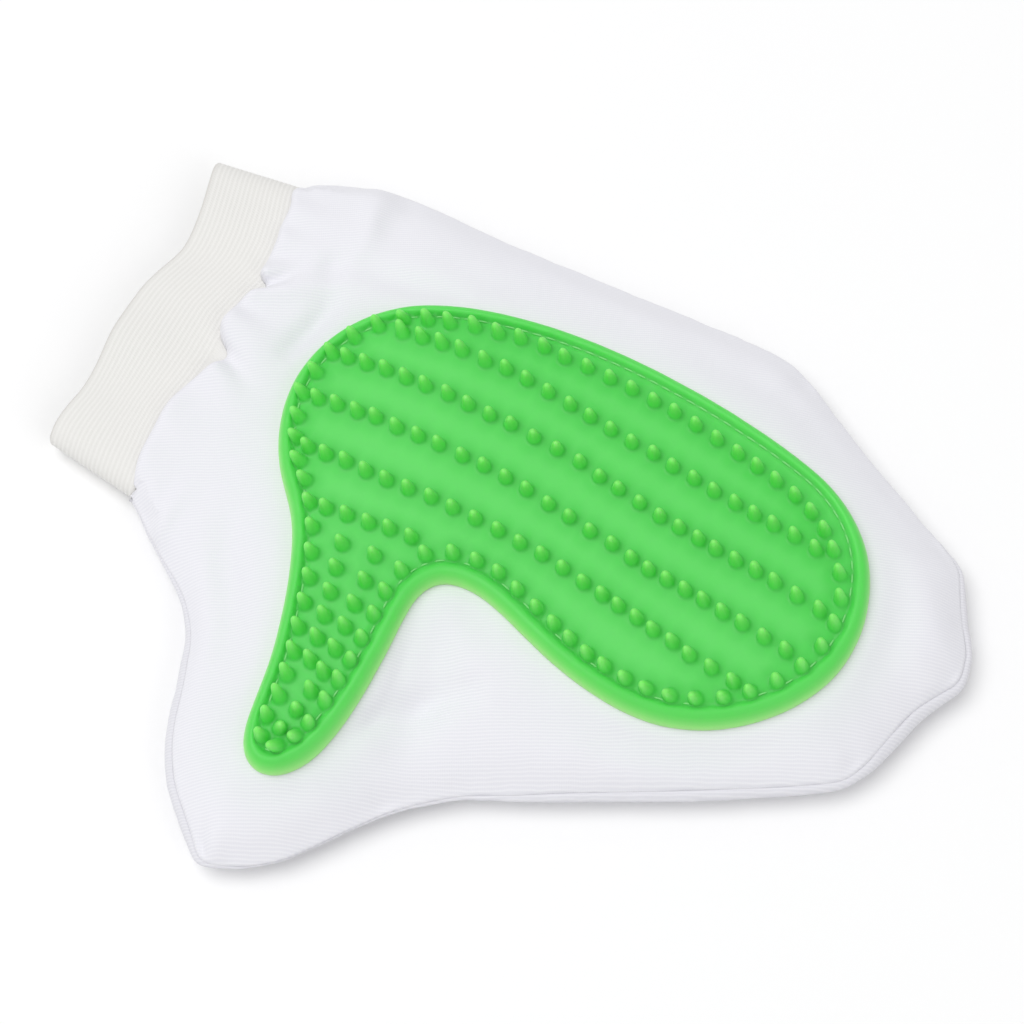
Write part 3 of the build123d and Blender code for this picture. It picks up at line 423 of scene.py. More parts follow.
def edge_profile(t):
    """(along, in from the outline, height) round the mitt's edge; along is 0 at the outermost point, positive upwards."""
    d = np.arange(0, 14.01, 0.1)
    rise, roll = WRIST_RISE + (PALM_RISE - WRIST_RISE) * t, WRIST_ROLL + (PALM_ROLL - WRIST_ROLL) * t
    low = np.column_stack([d[::-1], np.maximum(0.0, SEAM_Z - BACK_DROP * (1 - np.exp(-d[::-1] / (3.0 + (BACK_ROLL - 3.0) * t))))])
    top = np.column_stack([d[1:], SEAM_Z + rise * (1 - np.exp(-d[1:] / roll))])
    run = even(np.vstack([low, top]), False, STEP_A)
    run = soften(run, 12.0)
    k = int(np.argmin(run[:, 0]))
    a = (np.arange(len(run)) - k) * STEP_A
    run[:, 0] -= run[k, 0] * np.exp(-(a / 3.0) ** 2)
    return a, run


LEVELS = np.linspace(0, 1, 9)
PROFILES = [edge_profile(t) for t in LEVELS]


def round_edge(t, a):
    """Distance in from the outline and height on the edge's section."""
    k = np.clip((t * 8).astype(int), 0, 7)
    w = t * 8 - k
    got = []
    for col in (0, 1):
        each = np.stack([np.interp(a, pa, run[:, col]) for pa, run in PROFILES])
        got.append(each[k, np.arange(len(a))] * (1 - w) + each[k + 1, np.arange(len(a))] * w)
    return got[0], got[1]


def section(t, a):
    d, z = round_edge(t, a)
    d1, z1 = round_edge(t, a + 0.15)
    d0, z0 = round_edge(t, a - 0.15)
    n = np.hypot(d1 - d0, z1 - z0) + 1e-9
    return d, z, -(z1 - z0) / n, (d1 - d0) / n           # the last two point out of the mitt


side = np.gradient(OUT, axis=0)
side /= np.linalg.norm(side, axis=1)[:, None]
side = soften(side, 1.5)
side /= np.linalg.norm(side, axis=1)[:, None]
OUTWARD = np.column_stack([-side[:, 1], side[:, 0]])
ST = step01(OUT[:, 1], WRIST_Y, PALM_Y)
at = [int(np.argmin(np.hypot(OUT[:, 0] - x, OUT[:, 1] - y))) for x, y, _ in SEAM_UP]
order = np.argsort(at)
UP = soften(np.interp(np.arange(len(OUT)), arr(at)[order], arr([u for _, _, u in SEAM_UP])[order]), 4.0) * 2.9
pucker = noise(np.column_stack([np.arange(len(OUT)) * 1.2, 0 * UP]), 7, 21) * 0.16 + \
    noise(np.column_stack([np.arange(len(OUT)) * 1.2, 0 * UP]), 3.4, 22) * 0.08
UP = np.clip(UP + noise(np.column_stack([np.arange(len(OUT)) * 1.2, 0 * UP]), 30, 23) * 0.15, 0.0, 4.2)


def edge_row(a, off, depth=0.40):
    """Points of one row round the edge, at along = a, off from the seam."""
    d, z, nd, nz = section(ST, a)
    sink = depth * bump(off, 0.5) - (pucker * (1 - bump(off, 0.6)) * bump(off, 4.0))
    d, z = d - nd * sink, z - nz * sink
    return np.column_stack([OUT - OUTWARD * d[:, None], z])


PALM_OFF = [0.0, 0.2, 0.42, 0.7, 1.05, 1.5, 2.0, 2.6, 3.3]
BACK_OFF = [0.0, 0.2, 0.42, 0.7, 1.05]
palm_rows = [edge_row(UP + o, o) for o in PALM_OFF]
back_rows = [edge_row(UP - o, o) for o in BACK_OFF]
for f in np.linspace(0, 1, 9)[1:]:
    a = (UP - 1.05) * (1 - f) - 3.6 * f
    back_rows.append(edge_row(a, UP - a))


def lipped(V, top):
    """Rounds a panel down to the elastic where it is sewn to it."""
    V = V.copy()
    b = past_mouth(V)
    g = np.sqrt(np.clip(1 - (1 - np.clip(b / LIP, 0, 1)) ** 2, 0, 1))
    open_ = cuff_rise(V[:, 0])
    goal = 5.5 + (CUFF_TOP - 5.5) * open_ - 0.15 if top else 5.5 - (5.5 - CUFF_FOOT) * open_ - 0.25
    V[:, 2] = goal + (V[:, 2] - goal) * g
    return V


def filled(loop, inner, heights, spacing):
    """Triangles over a plan loop whose points have given heights; inner points get theirs from the function."""
    pts = [Vector(p) for p in np.vstack([loop[:, :2], inner])]
    n = len(loop)
    got = delaunay_2d_cdt(pts, [(i, (i + 1) % n) for i in range(n)], [], 0, 1e-5)
    P = arr([tuple(v) for v in got[0]])
    T = np.array([f for f in got[2] if len(f) == 3], int)
    T = T[signed(P[T].mean(1), loop[:, :2]) > 0]
    source = np.array([min(s) if len(s) else -1 for s in got[3]], int)
    Z = heights(P)
    known = (source >= 0) & (source < n)
    Z[known] = loop[source[known], 2]
    return np.column_stack([P, Z]), T, source


def hexes(x0, x1, y0, y1, s):
    ys = np.arange(y0, y1, s * 0.866)
    return np.vstack([np.column_stack([np.arange(x0 + (i % 2) * s / 2, x1, s), np.full(len(np.arange(x0 + (i % 2) * s / 2, x1, s)), y)])
                      for i, y in enumerate(ys)])


def upwards(V, T):
    """Turns every triangle so that it faces +Z."""
    a, b, c = V[T[:, 0]], V[T[:, 1]], V[T[:, 2]]
    flip = np.cross(b - a, c - a)[:, 2] < 0
    T = T.copy()
    T[flip] = T[flip][:, ::-1]
    return T


def panel(rows, height, spacing, top):
    """One knit panel: rows round the edge from the seam inwards, then the field inside them."""
    R, n = rows, len(OUT)
    V, F = [np.vstack(R)], []
    i = np.arange(n - 1)
    for k in range(len(R) - 1):
        a, b = k * n + i, (k + 1) * n + i
        F += [np.column_stack([a, b, b + 1]), np.column_stack([a, b + 1, a + 1])]
    last = (len(R) - 1) * n
    inner_row = R[-1]
    mouth = MOUTH_RUN[::-1]
    x0, x1 = inner_row[0, 0] + 0.7, inner_row[-1, 0] - 0.7
    mouth = mouth[(mouth[:, 0] > x0) & (mouth[:, 0] < x1)]
    z = height(mouth)
    loop = np.vstack([inner_row, np.column_stack([mouth, z])])
    pts = hexes(-92, 92, -93, 117, spacing)
    near = hexes(-92, 30, -93, -66, spacing * 0.66)
    pts = np.vstack([pts[~((pts[:, 1] < -66.4) & (pts[:, 0] < 30))], near])
    d = signed(pts, loop[:, :2])
    pts = pts[d > spacing * 0.45]
    rib = [np.column_stack([MOUTH_RUN[:, 0], MOUTH_RUN[:, 1] + o]) for o in (0.12, 0.32, 0.6, 0.95, 1.4, 1.9)]
    rib = np.vstack(rib)
    rib = rib[signed(rib, loop[:, :2]) > 0.09]
    b = past_mouth(pts)
    pts = pts[~((b < 2.4) & (b > -1))]
    P, T, source = filled(loop, np.vstack([pts, rib]), height, spacing)
    # the loop's first points are the inner row itself
    base = n * len(R)
    index = np.full(len(P), -1)
    for j, s in enumerate(source):
        if 0 <= s < n:
            index[j] = last + s
    fresh = np.where(index < 0)[0]
    index[fresh] = base + np.arange(len(fresh))
    V = np.vstack(V + [P[fresh]])
    F = np.vstack(F + [index[T]])
    # carry the folds out over the edge rows
    m = n * len(R)
    lift = (height(V[:m, :2]) - (PALM(V[:m, :2]) if top else BACK(V[:m, :2])))
    row = np.repeat(np.arange(len(R)), n) / (len(R) - 1)
    V[:m, 2] += lift * step01(row, 0.35 if top else 0.6, 1.0)
    V = lipped(V, top)
    a, b, c = V[F[:, 0]], V[F[:, 1]], V[F[:, 2]]
    return V, F


def solid_sheet(V, F, thick, out):
    """A sheet with thickness: a second layer inwards along the smooth normals, joined round the border."""
    N = np.zeros_like(V)
    a, b, c = V[F[:, 0]], V[F[:, 1]], V[F[:, 2]]
    fn = np.cross(b - a, c - a)
    for k in range(3):
        np.add.at(N, F[:, k], fn)
    N /= np.linalg.norm(N, axis=1)[:, None] + 1e-12
    W = V - N * thick * out
    edges = np.sort(np.vstack([F[:, [0, 1]], F[:, [1, 2]], F[:, [2, 0]]]), axis=1)
    key, first, count = np.unique(edges[:, 0] * 10000000 + edges[:, 1], return_index=True, return_counts=True)
    directed = np.vstack([F[:, [0, 1]], F[:, [1, 2]], F[:, [2, 0]]])[first[count == 1]]
    n = len(V)
    i, j = directed[:, 0], directed[:, 1]
    rim = np.vstack([np.column_stack([i, i + n, j + n]), np.column_stack([i, j + n, j])])
    return np.vstack([V, W]), np.vstack([F, F[:, ::-1] + n, rim])


def facing(V, F, up):
    """Makes all triangles of a panel wind one way, so that the field faces up or down."""
    a, b, c = V[F[:, 0]], V[F[:, 1]], V[F[:, 2]]
    s = np.cross(b - a, c - a)[:, 2].sum()
    return F if (s > 0) == up else F[:, ::-1]


def mesh_of(name, V, F, smooth=True, marks=None):
    """A mesh object from mm points. Faces with four corners are given as rows of four."""
    me = bpy.data.meshes.new(name)
    faces = [F] if isinstance(F, np.ndarray) else list(F)
    me.vertices.add(len(V))
    me.vertices.foreach_set("co", (arr(V) * 0.001).ravel())
    loops = np.concatenate([f.ravel() for f in faces])
    total = np.concatenate([np.full(len(f), f.shape[1]) for f in faces])
    me.loops.add(len(loops))
    me.loops.foreach_set("vertex_index", loops.astype(np.int32))
    me.polygons.add(len(total))
    me.polygons.foreach_set("loop_start", (np.cumsum(total) - total).astype(np.int32))
    me.polygons.foreach_set("loop_total", total.astype(np.int32))
    me.polygons.foreach_set("use_smooth", np.full(len(total), smooth))
    me.update(calc_edges=True)
    me.validate()
    for key, values in (marks or {}).items():
        values = arr(values)
        kind = "FLOAT" if values.ndim == 1 else "FLOAT_VECTOR"
        at_ = me.attributes.new(key, kind, "POINT")
        at_.data.foreach_set("value" if kind == "FLOAT" else "vector", values.astype(np.float32).ravel())
    ob = bpy.data.objects.new(name, me)
    bpy.context.scene.collection.objects.link(ob)
    return ob


# ---- pieces --------------------------------------------------------------
spacing = 1.25


def rest_marks(V, extra=None):
    marks = {"rest": V}
    marks.update(extra or {})
    return marks


def painted_green_bounce_shade(V):
    """Painted shade with green bounce light from the moulding, soft on the cloth beside it."""
    q = -PAD_D(V[:, :2])
    patch = 0.25 + 0.75 * step01(noise(V[:, :2], 38, 41), -0.5, 0.7)
    return np.where(q > 0, bump(np.maximum(q - 4.0, 0), 7.5), 1.0) * patch


def make_panel(name, rows, height, top):
    V, F = panel(rows, height, spacing, top)
    F = facing(V, F, top)
    V2, F2 = solid_sheet(V, F, 0.85, 1.0)
    V2[:, 2] = np.maximum(V2[:, 2], 0.0)
    ob = mesh_of(name, V2, F2, marks=rest_marks(V2, {"tint": painted_green_bounce_shade(V2) if top else np.zeros(len(V2))}))
    return ob


palm = make_panel("palm_knit", palm_rows, palm_z, True)
back = make_panel("back_knit", back_rows, back_z, False)

# the elastic: a flat woven loop with ribs round it
phi = np.radians(np.arange(0, 90, 10))
end_in = 7.0 * (1 - np.cos(phi))
half_in = np.sin(phi)
count = 82
mid = np.linspace(7.0, 95.8 - 7.0, count)                # along a loop 95.8 mm wide, scaled to its width below
fx = np.concatenate([end_in, mid, 95.8 - end_in[::-1]]) / 95.8
hf = np.concatenate([half_in, np.ones(count), half_in[::-1]])
around_f = np.concatenate([fx, fx[-2:0:-1]])
around_h = np.concatenate([hf, -hf[-2:0:-1]])
edge_run = curve(CUFF_EDGE, False, 0.8)
VISIBLE = 24.0
per_rib = 7
vs = np.concatenate([np.linspace(-LAP, -1.5, 4), [-0.9, -0.4], np.linspace(0, VISIBLE - 0.7, RIBS * per_rib), VISIBLE - 0.7 + arr([0.12, 0.3, 0.5, 0.7])])
loops_, rib_mark, along_mark = [], [], []
for v in vs:
    f = max(v, 0) / VISIBLE
    left = MOUTH[0][0] + (CUFF_EDGE[0][0] - MOUTH[0][0]) * f + 0.4
    right = MOUTH[-1][0] + (CUFF_EDGE[-1][0] - MOUTH[-1][0]) * f - 0.4
    x = left + (right - left) * around_f
    ym = np.interp(x, [p[0] for p in MOUTH], [p[1] for p in MOUTH])
    ye = np.interp(x, edge_run[:, 0], edge_run[:, 1])
    y = ym * (1 - v / VISIBLE) + ye * v / VISIBLE
    wave = (0.75 * np.sin(2 * np.pi * (x + 34) / 47) + 0.35 * np.sin(2 * np.pi * x / 21 + 1.1)) * f ** 1.3
    wave += 0.35 * noise(np.column_stack([x, y]), 16, 31) * f
    above = around_h >= 0
    z = np.where(above, 5.5 + (CUFF_TOP - 5.5) * around_h + wave * around_h,
                 5.5 + (5.5 - CUFF_FOOT) * around_h + np.abs(wave) * 0.8 * -around_h)
    tuck = float(step01(-v, 0.0, 1.5))
    x = x + (arr(x).mean() - x) * 0.034 * tuck
    z = np.where(above, z - 0.12 * tuck, z + 0.9 * tuck * -around_h)
    # underneath, the elastic lies on the inside of the back panel's mouth and comes down past its edge
    floor_ = np.column_stack([x, y])
    cloth = lipped(np.column_stack([floor_, back_z(floor_)]), False)[:, 2] + 1.0
    over = step01(past_mouth(floor_), -3.5, 0.2)
    lift = np.maximum(0.0, CUFF_FOOT + (np.maximum(cloth, 1.05) - CUFF_FOOT) * over - z)
    z = z + np.where(above, 0.0, lift * step01(-around_h, 0.25, 0.75))
    phase = RIBS * v / VISIBLE + 0.06 * noise(np.column_stack([x, 0 * x]), 9, 33)
    rib = (0.5 - 0.5 * np.cos(2 * np.pi * phase)) ** 1.2 if 0 <= v <= VISIBLE - 0.7 else 0.5 + 0 * x
    loops_.append(np.column_stack([x, y, z]))
    rib_mark.append(rib + 0 * x)
    along_mark.append(np.full(len(x), v))
L = np.stack(loops_)
n_around = L.shape[1]
tangent = np.roll(L, -1, 1) - np.roll(L, 1, 1)
run_dir = np.gradient(L, axis=0)
normal = np.cross(tangent, run_dir)
normal /= np.linalg.norm(normal, axis=2)[:, :, None]
centre = L.mean(axis=1, keepdims=True)
if ((L - centre)[:, :, 2] * normal[:, :, 2]).sum() < 0:
    normal = -normal
rib_a = np.stack(rib_mark)
outer = L + normal * (0.10 * (rib_a - 1.0))[:, :, None]
fall = np.zeros(len(vs))
fall[-4:] = [0.03, 0.12, 0.3, 0.6]
outer -= normal * fall[:, None, None]
inner_at = np.concatenate([np.arange(len(vs) - 1, 0, -per_rib), [0]])
sink = np.array([0.55 if i == len(vs) - 1 else WALL for i in inner_at])
inner = L[inner_at] - normal[inner_at] * (sink[:, None, None])
C = np.concatenate([outer, inner])
rows_c = C.shape[0]
ii, jj = np.meshgrid(np.arange(rows_c), np.arange(n_around), indexing="ij")
i2, j2 = (ii + 1) % rows_c, (jj + 1) % n_around
quads = np.stack([ii * n_around + jj, ii * n_around + j2, i2 * n_around + j2, i2 * n_around + jj], -1).reshape(-1, 4)
CV = C.reshape(-1, 3)
a, b, c = CV[quads[:, 0]], CV[quads[:, 1]], CV[quads[:, 2]]
m = len(vs) // 2 * n_around
if np.dot(np.cross(b - a, c - a)[m], normal[len(vs) // 2, 0]) < 0:
    quads = quads[:, ::-1]
rib_all = np.concatenate([rib_a, np.full((len(inner), n_around), 0.6)]).ravel()
run_all = np.concatenate([np.stack(along_mark), np.stack(along_mark)[inner_at]]).ravel()
round_at = np.r_[0, np.cumsum(np.linalg.norm(np.diff(L[len(vs) // 2], axis=0), axis=1))]
round_all = np.tile(round_at, rows_c)
cuff = mesh_of("elastic_knit_cuff", CV, quads, marks={"rest": CV, "rib": rib_all, "run": run_all, "round": round_all,
                                                           "darker_edge_band": step01(run_all, VISIBLE - 1.0, VISIBLE - 0.4)})

# the moulding
N_XY, N_AX = arr(NUBS)[:, :2], arr(NUBS)[:, 2:]
N_AX = np.column_stack([N_AX, np.sqrt(1 - (N_AX ** 2).sum(1))])


def nearest(P, Q, chunk=4000):
    """Index of and distance to the nearest of Q for each point of P."""
    idx, dist = [], []
    for s in range(0, len(P), chunk):
        D = np.linalg.norm(P[s:s + chunk, None] - Q[None], axis=2)
        k = D.argmin(1)
        idx.append(k)
        dist.append(D[np.arange(len(k)), k])
    return np.concatenate(idx), np.concatenate(dist)


def table_of(pairs, x):
    p = arr(pairs)
    o = np.argsort(p[:, 0])
    return np.interp(x, p[o, 0], p[o, 1])


def pad_surface(P):
    """The moulding's upper surface over plan points, with the nubs standing on it."""
    q = PAD_D(P)
    near, _ = nearest(P, PAD_RING)
    scale = RIM_SCALE[near]
    level = table_of(FALL, np.maximum(q / scale, 3.3))
    k, r = nearest(P, N_XY)
    base = palm_z(P)
    level = level + (SHEET - level) * step01(-r, -2.4, -1.5)
    h = table_of(NUB, np.minimum(r, 2.45))
    ax = N_AX[k]
    out = np.column_stack([P, base + level]) + ax * h[:, None]
    return out, h, r, q / scale


rim = []
for d, level in RIM:
    P = PAD_RING - PAD_OUT * (d * RIM_SCALE)[:, None]
    rim.append(np.column_stack([P, palm_z(P) + level]))
np_ = len(PAD_RING)
if turn < 0:
    rim = [r[::-1] for r in rim]
loop = rim[-1]
inside = []
ring_pts = PAD_RING[::-1] if turn < 0 else PAD_RING
ring_out = PAD_OUT[::-1] if turn < 0 else PAD_OUT
ring_scale = RIM_SCALE[::-1] if turn < 0 else RIM_SCALE
for d, _ in FALL[1:-2]:
    inside.append(ring_pts - ring_out * (d * ring_scale)[:, None])
inside = np.vstack(inside)
fieldpts = hexes(-70, 70, -70, 92, 1.5)
q = PAD_D(fieldpts)
fieldpts = fieldpts[(q > 6.9 * 0.72) & (q / RIM_SCALE[nearest(fieldpts, PAD_RING)[0]] > 6.6)]
inside = np.vstack([inside, fieldpts])
_, r = nearest(inside, N_XY)
inside = inside[r > 2.75]
sides = 18
rings_ = []
for r_, _ in NUB[:-1]:
    t = np.linspace(0, 2 * np.pi, sides if r_ > 0.9 else sides // 2, endpoint=False)
    rings_.append((N_XY[:, None] + r_ * np.stack([np.cos(t), np.sin(t)], -1)[None]).reshape(-1, 2))
    own = np.repeat(np.arange(len(N_XY)), len(t))
    k, _ = nearest(rings_[-1], N_XY)
    rings_[-1] = rings_[-1][k == own]
rings_.append(N_XY.copy())
inside = np.vstack([inside] + rings_)
inside = inside[signed(inside, loop[:, :2]) > 0.16]
P, T, source = filled(loop, inside, lambda p: np.zeros(len(p)), 1.5)
S, h, r, q = pad_surface(P[:, :2])
known = (source >= 0) & (source < np_)
T = upwards(np.column_stack([P[:, :2], 0 * P[:, 0]]), T)
base = np_ * len(rim)
index = np.full(len(P), -1)
index[known] = (len(rim) - 1) * np_ + source[known]
fresh = np.where(~known)[0]
index[fresh] = base + np.arange(len(fresh))
PV = np.vstack(rim + [S[fresh]])
faces = [index[T]]
i = np.arange(np_)
j = (i + 1) % np_
for k in range(len(rim) - 1):
    a, b = k * np_, (k + 1) * np_
    faces += [np.column_stack([a + i, a + j, b + j]), np.column_stack([a + i, b + j, b + i])]
under = hexes(-70, 70, -70, 92, 4.0)
under = under[signed(under, rim[0][:, :2]) > 1.5]
U, UT, us = filled(np.column_stack([rim[0][:, :2], rim[0][:, 2]]), under, lambda p: palm_z(p) - 0.1, 4.0)
UT = upwards(np.column_stack([U[:, :2], 0 * U[:, 0]]), UT)[:, ::-1]
uk = (us >= 0) & (us < np_)
ui = np.full(len(U), -1)
ui[uk] = us[uk]
uf = np.where(~uk)[0]
ui[uf] = len(PV) + np.arange(len(uf))
PV = np.vstack([PV, U[uf]])
faces.append(ui[UT])
PF = np.vstack(faces)
# painted glow of light through the thin nub tips, growing towards each tip
painted_tip_glow = np.concatenate([np.zeros(base), (h / 5.25)[fresh], np.zeros(len(uf))])
rimness = np.concatenate([np.repeat([1.0, 1.0, 1.0, 1.0, 1.0, 0.95, 0.85, 0.7, 0.55, 0.4], np_),
                          (0.4 * step01(-q, -4.6, -3.3))[fresh], np.zeros(len(uf))])
# outer: painted glow of light through the rim's translucent outer wall
outer = np.concatenate([np.repeat([1.0, 1.0, 1.0, 0.95, 0.78, 0.45, 0.18, 0.03, 0.0, 0.0], np_), np.zeros(len(fresh) + len(uf))])
between = np.concatenate([np.zeros(base), (step01(r, 2.2, 6.0))[fresh], np.zeros(len(uf))])
nubby = np.concatenate([np.zeros(base), step01(h, 0.1, 1.2)[fresh], np.zeros(len(uf))])
# painted shade in the corner round each nub's foot
painted_foot_shade = np.concatenate([np.zeros(base), (bump(r - 1.75, 0.45) * (h < 1.2))[fresh], np.zeros(len(uf))])
pad = mesh_of("grooming_moulding", PV, PF, marks={"rest": PV, "painted_tip_glow": painted_tip_glow, "rim": rimness, "between": between, "painted_foot_shade": painted_foot_shade, "nub": nubby, "outer": outer})

# stitches in the groove
TUBE = 6
sv, sf = [], []
perimeter = len(PAD_RING)
pitch, length = 3.5, 2.5
groove = PAD_RING - PAD_OUT * (5.25 * RIM_SCALE)[:, None]
groove = even(groove, True, 0.25)
per = int(round(pitch / 0.25))
for s in range(0, len(groove) - per, per):
    run = groove[s:s + int(length / 0.25) + 1:2]
    mid_ = run[len(run) // 2]
    if np.min(np.linalg.norm(N_XY - mid_, axis=1)) < 2.1:
        continue
    z = palm_z(run) + table_of(FALL, PAD_D(run) / RIM_SCALE[nearest(run, PAD_RING)[0]])
    lift = 0.14 * np.sin(np.linspace(0, np.pi, len(run))) ** 0.5 - 0.02
    path = np.column_stack([run, z + lift + 0.06])
    tang = np.gradient(path, axis=0)
    tang /= np.linalg.norm(tang, axis=1)[:, None]
    s1 = np.cross(tang, [0, 0, 1.0])
    s1 /= np.linalg.norm(s1, axis=1)[:, None]
    s2 = np.cross(tang, s1)
    rad = 0.2 * np.sqrt(np.clip(1 - np.linspace(-1, 1, len(run)) ** 6, 0.1, 1))
    t = np.linspace(0, 2 * np.pi, TUBE, endpoint=False)
    ringv = path[:, None] + rad[:, None, None] * (np.cos(t)[None, :, None] * s1[:, None] + np.sin(t)[None, :, None] * s2[:, None])
    o = sum(len(x) for x in sv)
    sv.append(ringv.reshape(-1, 3))
    for k in range(len(run) - 1):
        i = np.arange(TUBE)
        j = (i + 1) % TUBE
        sf += list(np.column_stack([o + k * TUBE + i, o + (k + 1) * TUBE + i, o + (k + 1) * TUBE + j, o + k * TUBE + j]))
    sf += [[o + 0, o + 1, o + 2, o + 3], [o + 3, o + 4, o + 5, o + 0],
           [o + (len(run) - 1) * TUBE + 3, o + (len(run) - 1) * TUBE + 2, o + (len(run) - 1) * TUBE + 1, o + (len(run) - 1) * TUBE],
           [o + (len(run) - 1) * TUBE, o + (len(run) - 1) * TUBE + 5, o + (len(run) - 1) * TUBE + 4, o + (len(run) - 1) * TUBE + 3]]
stitch_v = np.vstack(sv)
stitching = mesh_of("groove_stitches", stitch_v, np.array(sf), marks={"rest": stitch_v})


# ---- materials -----------------------------------------------------------
def material(name):
    m = bpy.data.materials.new(name)
    m.use_nodes = True
    m.node_tree.nodes.clear()
    out = m.node_tree.nodes.new("ShaderNodeOutputMaterial")
    bsdf = m.node_tree.nodes.new("ShaderNodeBsdfPrincipled")
    m.node_tree.links.new(bsdf.outputs[0], out.inputs[0])
    return m, m.node_tree, bsdf


def node(tree, kind, links=(), **values):
    n = tree.nodes.new(kind)
    for k, v in values.items():
        if k.startswith("in_"):
            n.inputs[int(k[3:])].default_value = v
        else:
            setattr(n, k, v)
    for socket, src in links:
        tree.links.new(src, n.inputs[socket])
    return n


def number(tree, op, a, b=None):
    n = tree.nodes.new("ShaderNodeMath")
    n.operation = op
    for k, v in enumerate((a, b)):
        if v is None:
            continue
        if isinstance(v, (int, float)):
            n.inputs[k].default_value = v
        else:
            tree.links.new(v, n.inputs[k])
    return n.outputs[0]


def mark(tree, name, vector=False):
    n = tree.nodes.new("ShaderNodeAttribute")
    n.attribute_name = name
    return n.outputs["Vector" if vector else "Fac"]


def blendc(tree, fac, a, b):
    n = tree.nodes.new("ShaderNodeMix")
    n.data_type = "RGBA"
    if isinstance(fac, (int, float)):
        n.inputs[0].default_value = fac
    else:
        tree.links.new(fac, n.inputs[0])
    for k, v in ((6, a), (7, b)):
        if isinstance(v, tuple):
            n.inputs[k].default_value = (*v, 1) if len(v) == 3 else v
        else:
            tree.links.new(v, n.inputs[k])
    return n.outputs[2]


def wave(tree, co, direction, pitch, wander=0.0):
    """0 to 1 along a direction, one wave every pitch mm."""
    d = node(tree, "ShaderNodeVectorMath", [(0, co)], operation="DOT_PRODUCT")
    d.inputs[1].default_value = direction
    v = number(tree, "MULTIPLY", d.outputs["Value"], 2 * math.pi / pitch)
    if wander:
        nz = node(tree, "ShaderNodeTexNoise", [(0, co)], in_2=0.12, in_3=2.0)
        v = number(tree, "ADD", v, number(tree, "MULTIPLY", nz.outputs["Fac"], wander))
    return number(tree, "ADD", number(tree, "MULTIPLY", number(tree, "SINE", v), 0.5), 0.5)


def bumped(tree, bsdf, height, strength, distance):
    b = node(tree, "ShaderNodeBump")
    b.inputs["Strength"].default_value = strength
    b.inputs["Distance"].default_value = distance
    tree.links.new(height, b.inputs["Height"])
    tree.links.new(b.outputs[0], bsdf.inputs["Normal"])


def knit(name, dark, light):
    m, t, s = material(name)
    co = mark(t, "rest", True)
    courses = wave(t, co, (0.899, 0.438, 0.22), 0.74, 7.0)
    wales = wave(t, co, (-0.438, 0.899, 0.0), 0.55, 4.0)
    cloud = node(t, "ShaderNodeTexNoise", [(0, co)], in_2=0.05, in_3=3.0).outputs["Fac"]
    fuzz = node(t, "ShaderNodeTexNoise", [(0, co)], in_2=2.2, in_3=2.0).outputs["Fac"]
    line = number(t, "POWER", courses, 1.6)
    white = blendc(t, line, dark, light)
    white = blendc(t, number(t, "MULTIPLY", wales, 0.16), white, (0.74, 0.74, 0.80))
    white = blendc(t, number(t, "MULTIPLY", number(t, "SUBTRACT", cloud, 0.35), 0.22), white, (0.78, 0.775, 0.86))
    white = blendc(t, number(t, "MULTIPLY", fuzz, 0.10), white, (0.90, 0.90, 0.92))
    # painted shade with green bounce light from the moulding, on the cloth beside it
    white = blendc(t, number(t, "MULTIPLY", mark(t, "tint"), 0.15), white, (0.62, 0.74, 0.66))
    t.links.new(white, s.inputs["Base Color"])
    s.inputs["Roughness"].default_value = 0.82
    s.inputs["Specular IOR Level"].default_value = 0.25
    s.inputs["Sheen Weight"].default_value = 0.25
    s.inputs["Sheen Roughness"].default_value = 0.45
    bumped(t, s, number(t, "ADD", line, number(t, "MULTIPLY", wales, 0.35)), 0.22, 0.00014)
    return m


def woven():
    m, t, s = material("off_white_elastic")
    co = mark(t, "rest", True)
    rib = mark(t, "rib")
    weft = wave(t, node(t, "ShaderNodeCombineXYZ", [(0, mark(t, "round")), (1, mark(t, "run"))]).outputs[0], (1.0, 0.35, 0), 0.7, 0.0)
    fleck = node(t, "ShaderNodeTexNoise", [(0, co)], in_2=1.1, in_3=3.0).outputs["Fac"]
    # the rib mark: the ribbing's own light lines, with painted shade darkening the rib valleys
    c = blendc(t, rib, (0.752, 0.744, 0.722), (0.822, 0.814, 0.795))
    c = blendc(t, number(t, "MULTIPLY", weft, 0.22), c, (0.77, 0.76, 0.73))
    c = blendc(t, number(t, "MULTIPLY", fleck, 0.14), c, (0.86, 0.85, 0.82))
    # darker along the elastic's free edge
    c = blendc(t, number(t, "MULTIPLY", mark(t, "darker_edge_band"), 0.55), c, (0.60, 0.585, 0.555))
    t.links.new(c, s.inputs["Base Color"])
    s.inputs["Roughness"].default_value = 0.72
    s.inputs["Specular IOR Level"].default_value = 0.3
    s.inputs["Sheen Weight"].default_value = 0.15
    bumped(t, s, number(t, "ADD", number(t, "MULTIPLY", weft, 0.6), number(t, "MULTIPLY", fleck, 0.8)), 0.35, 0.00018)
    return m


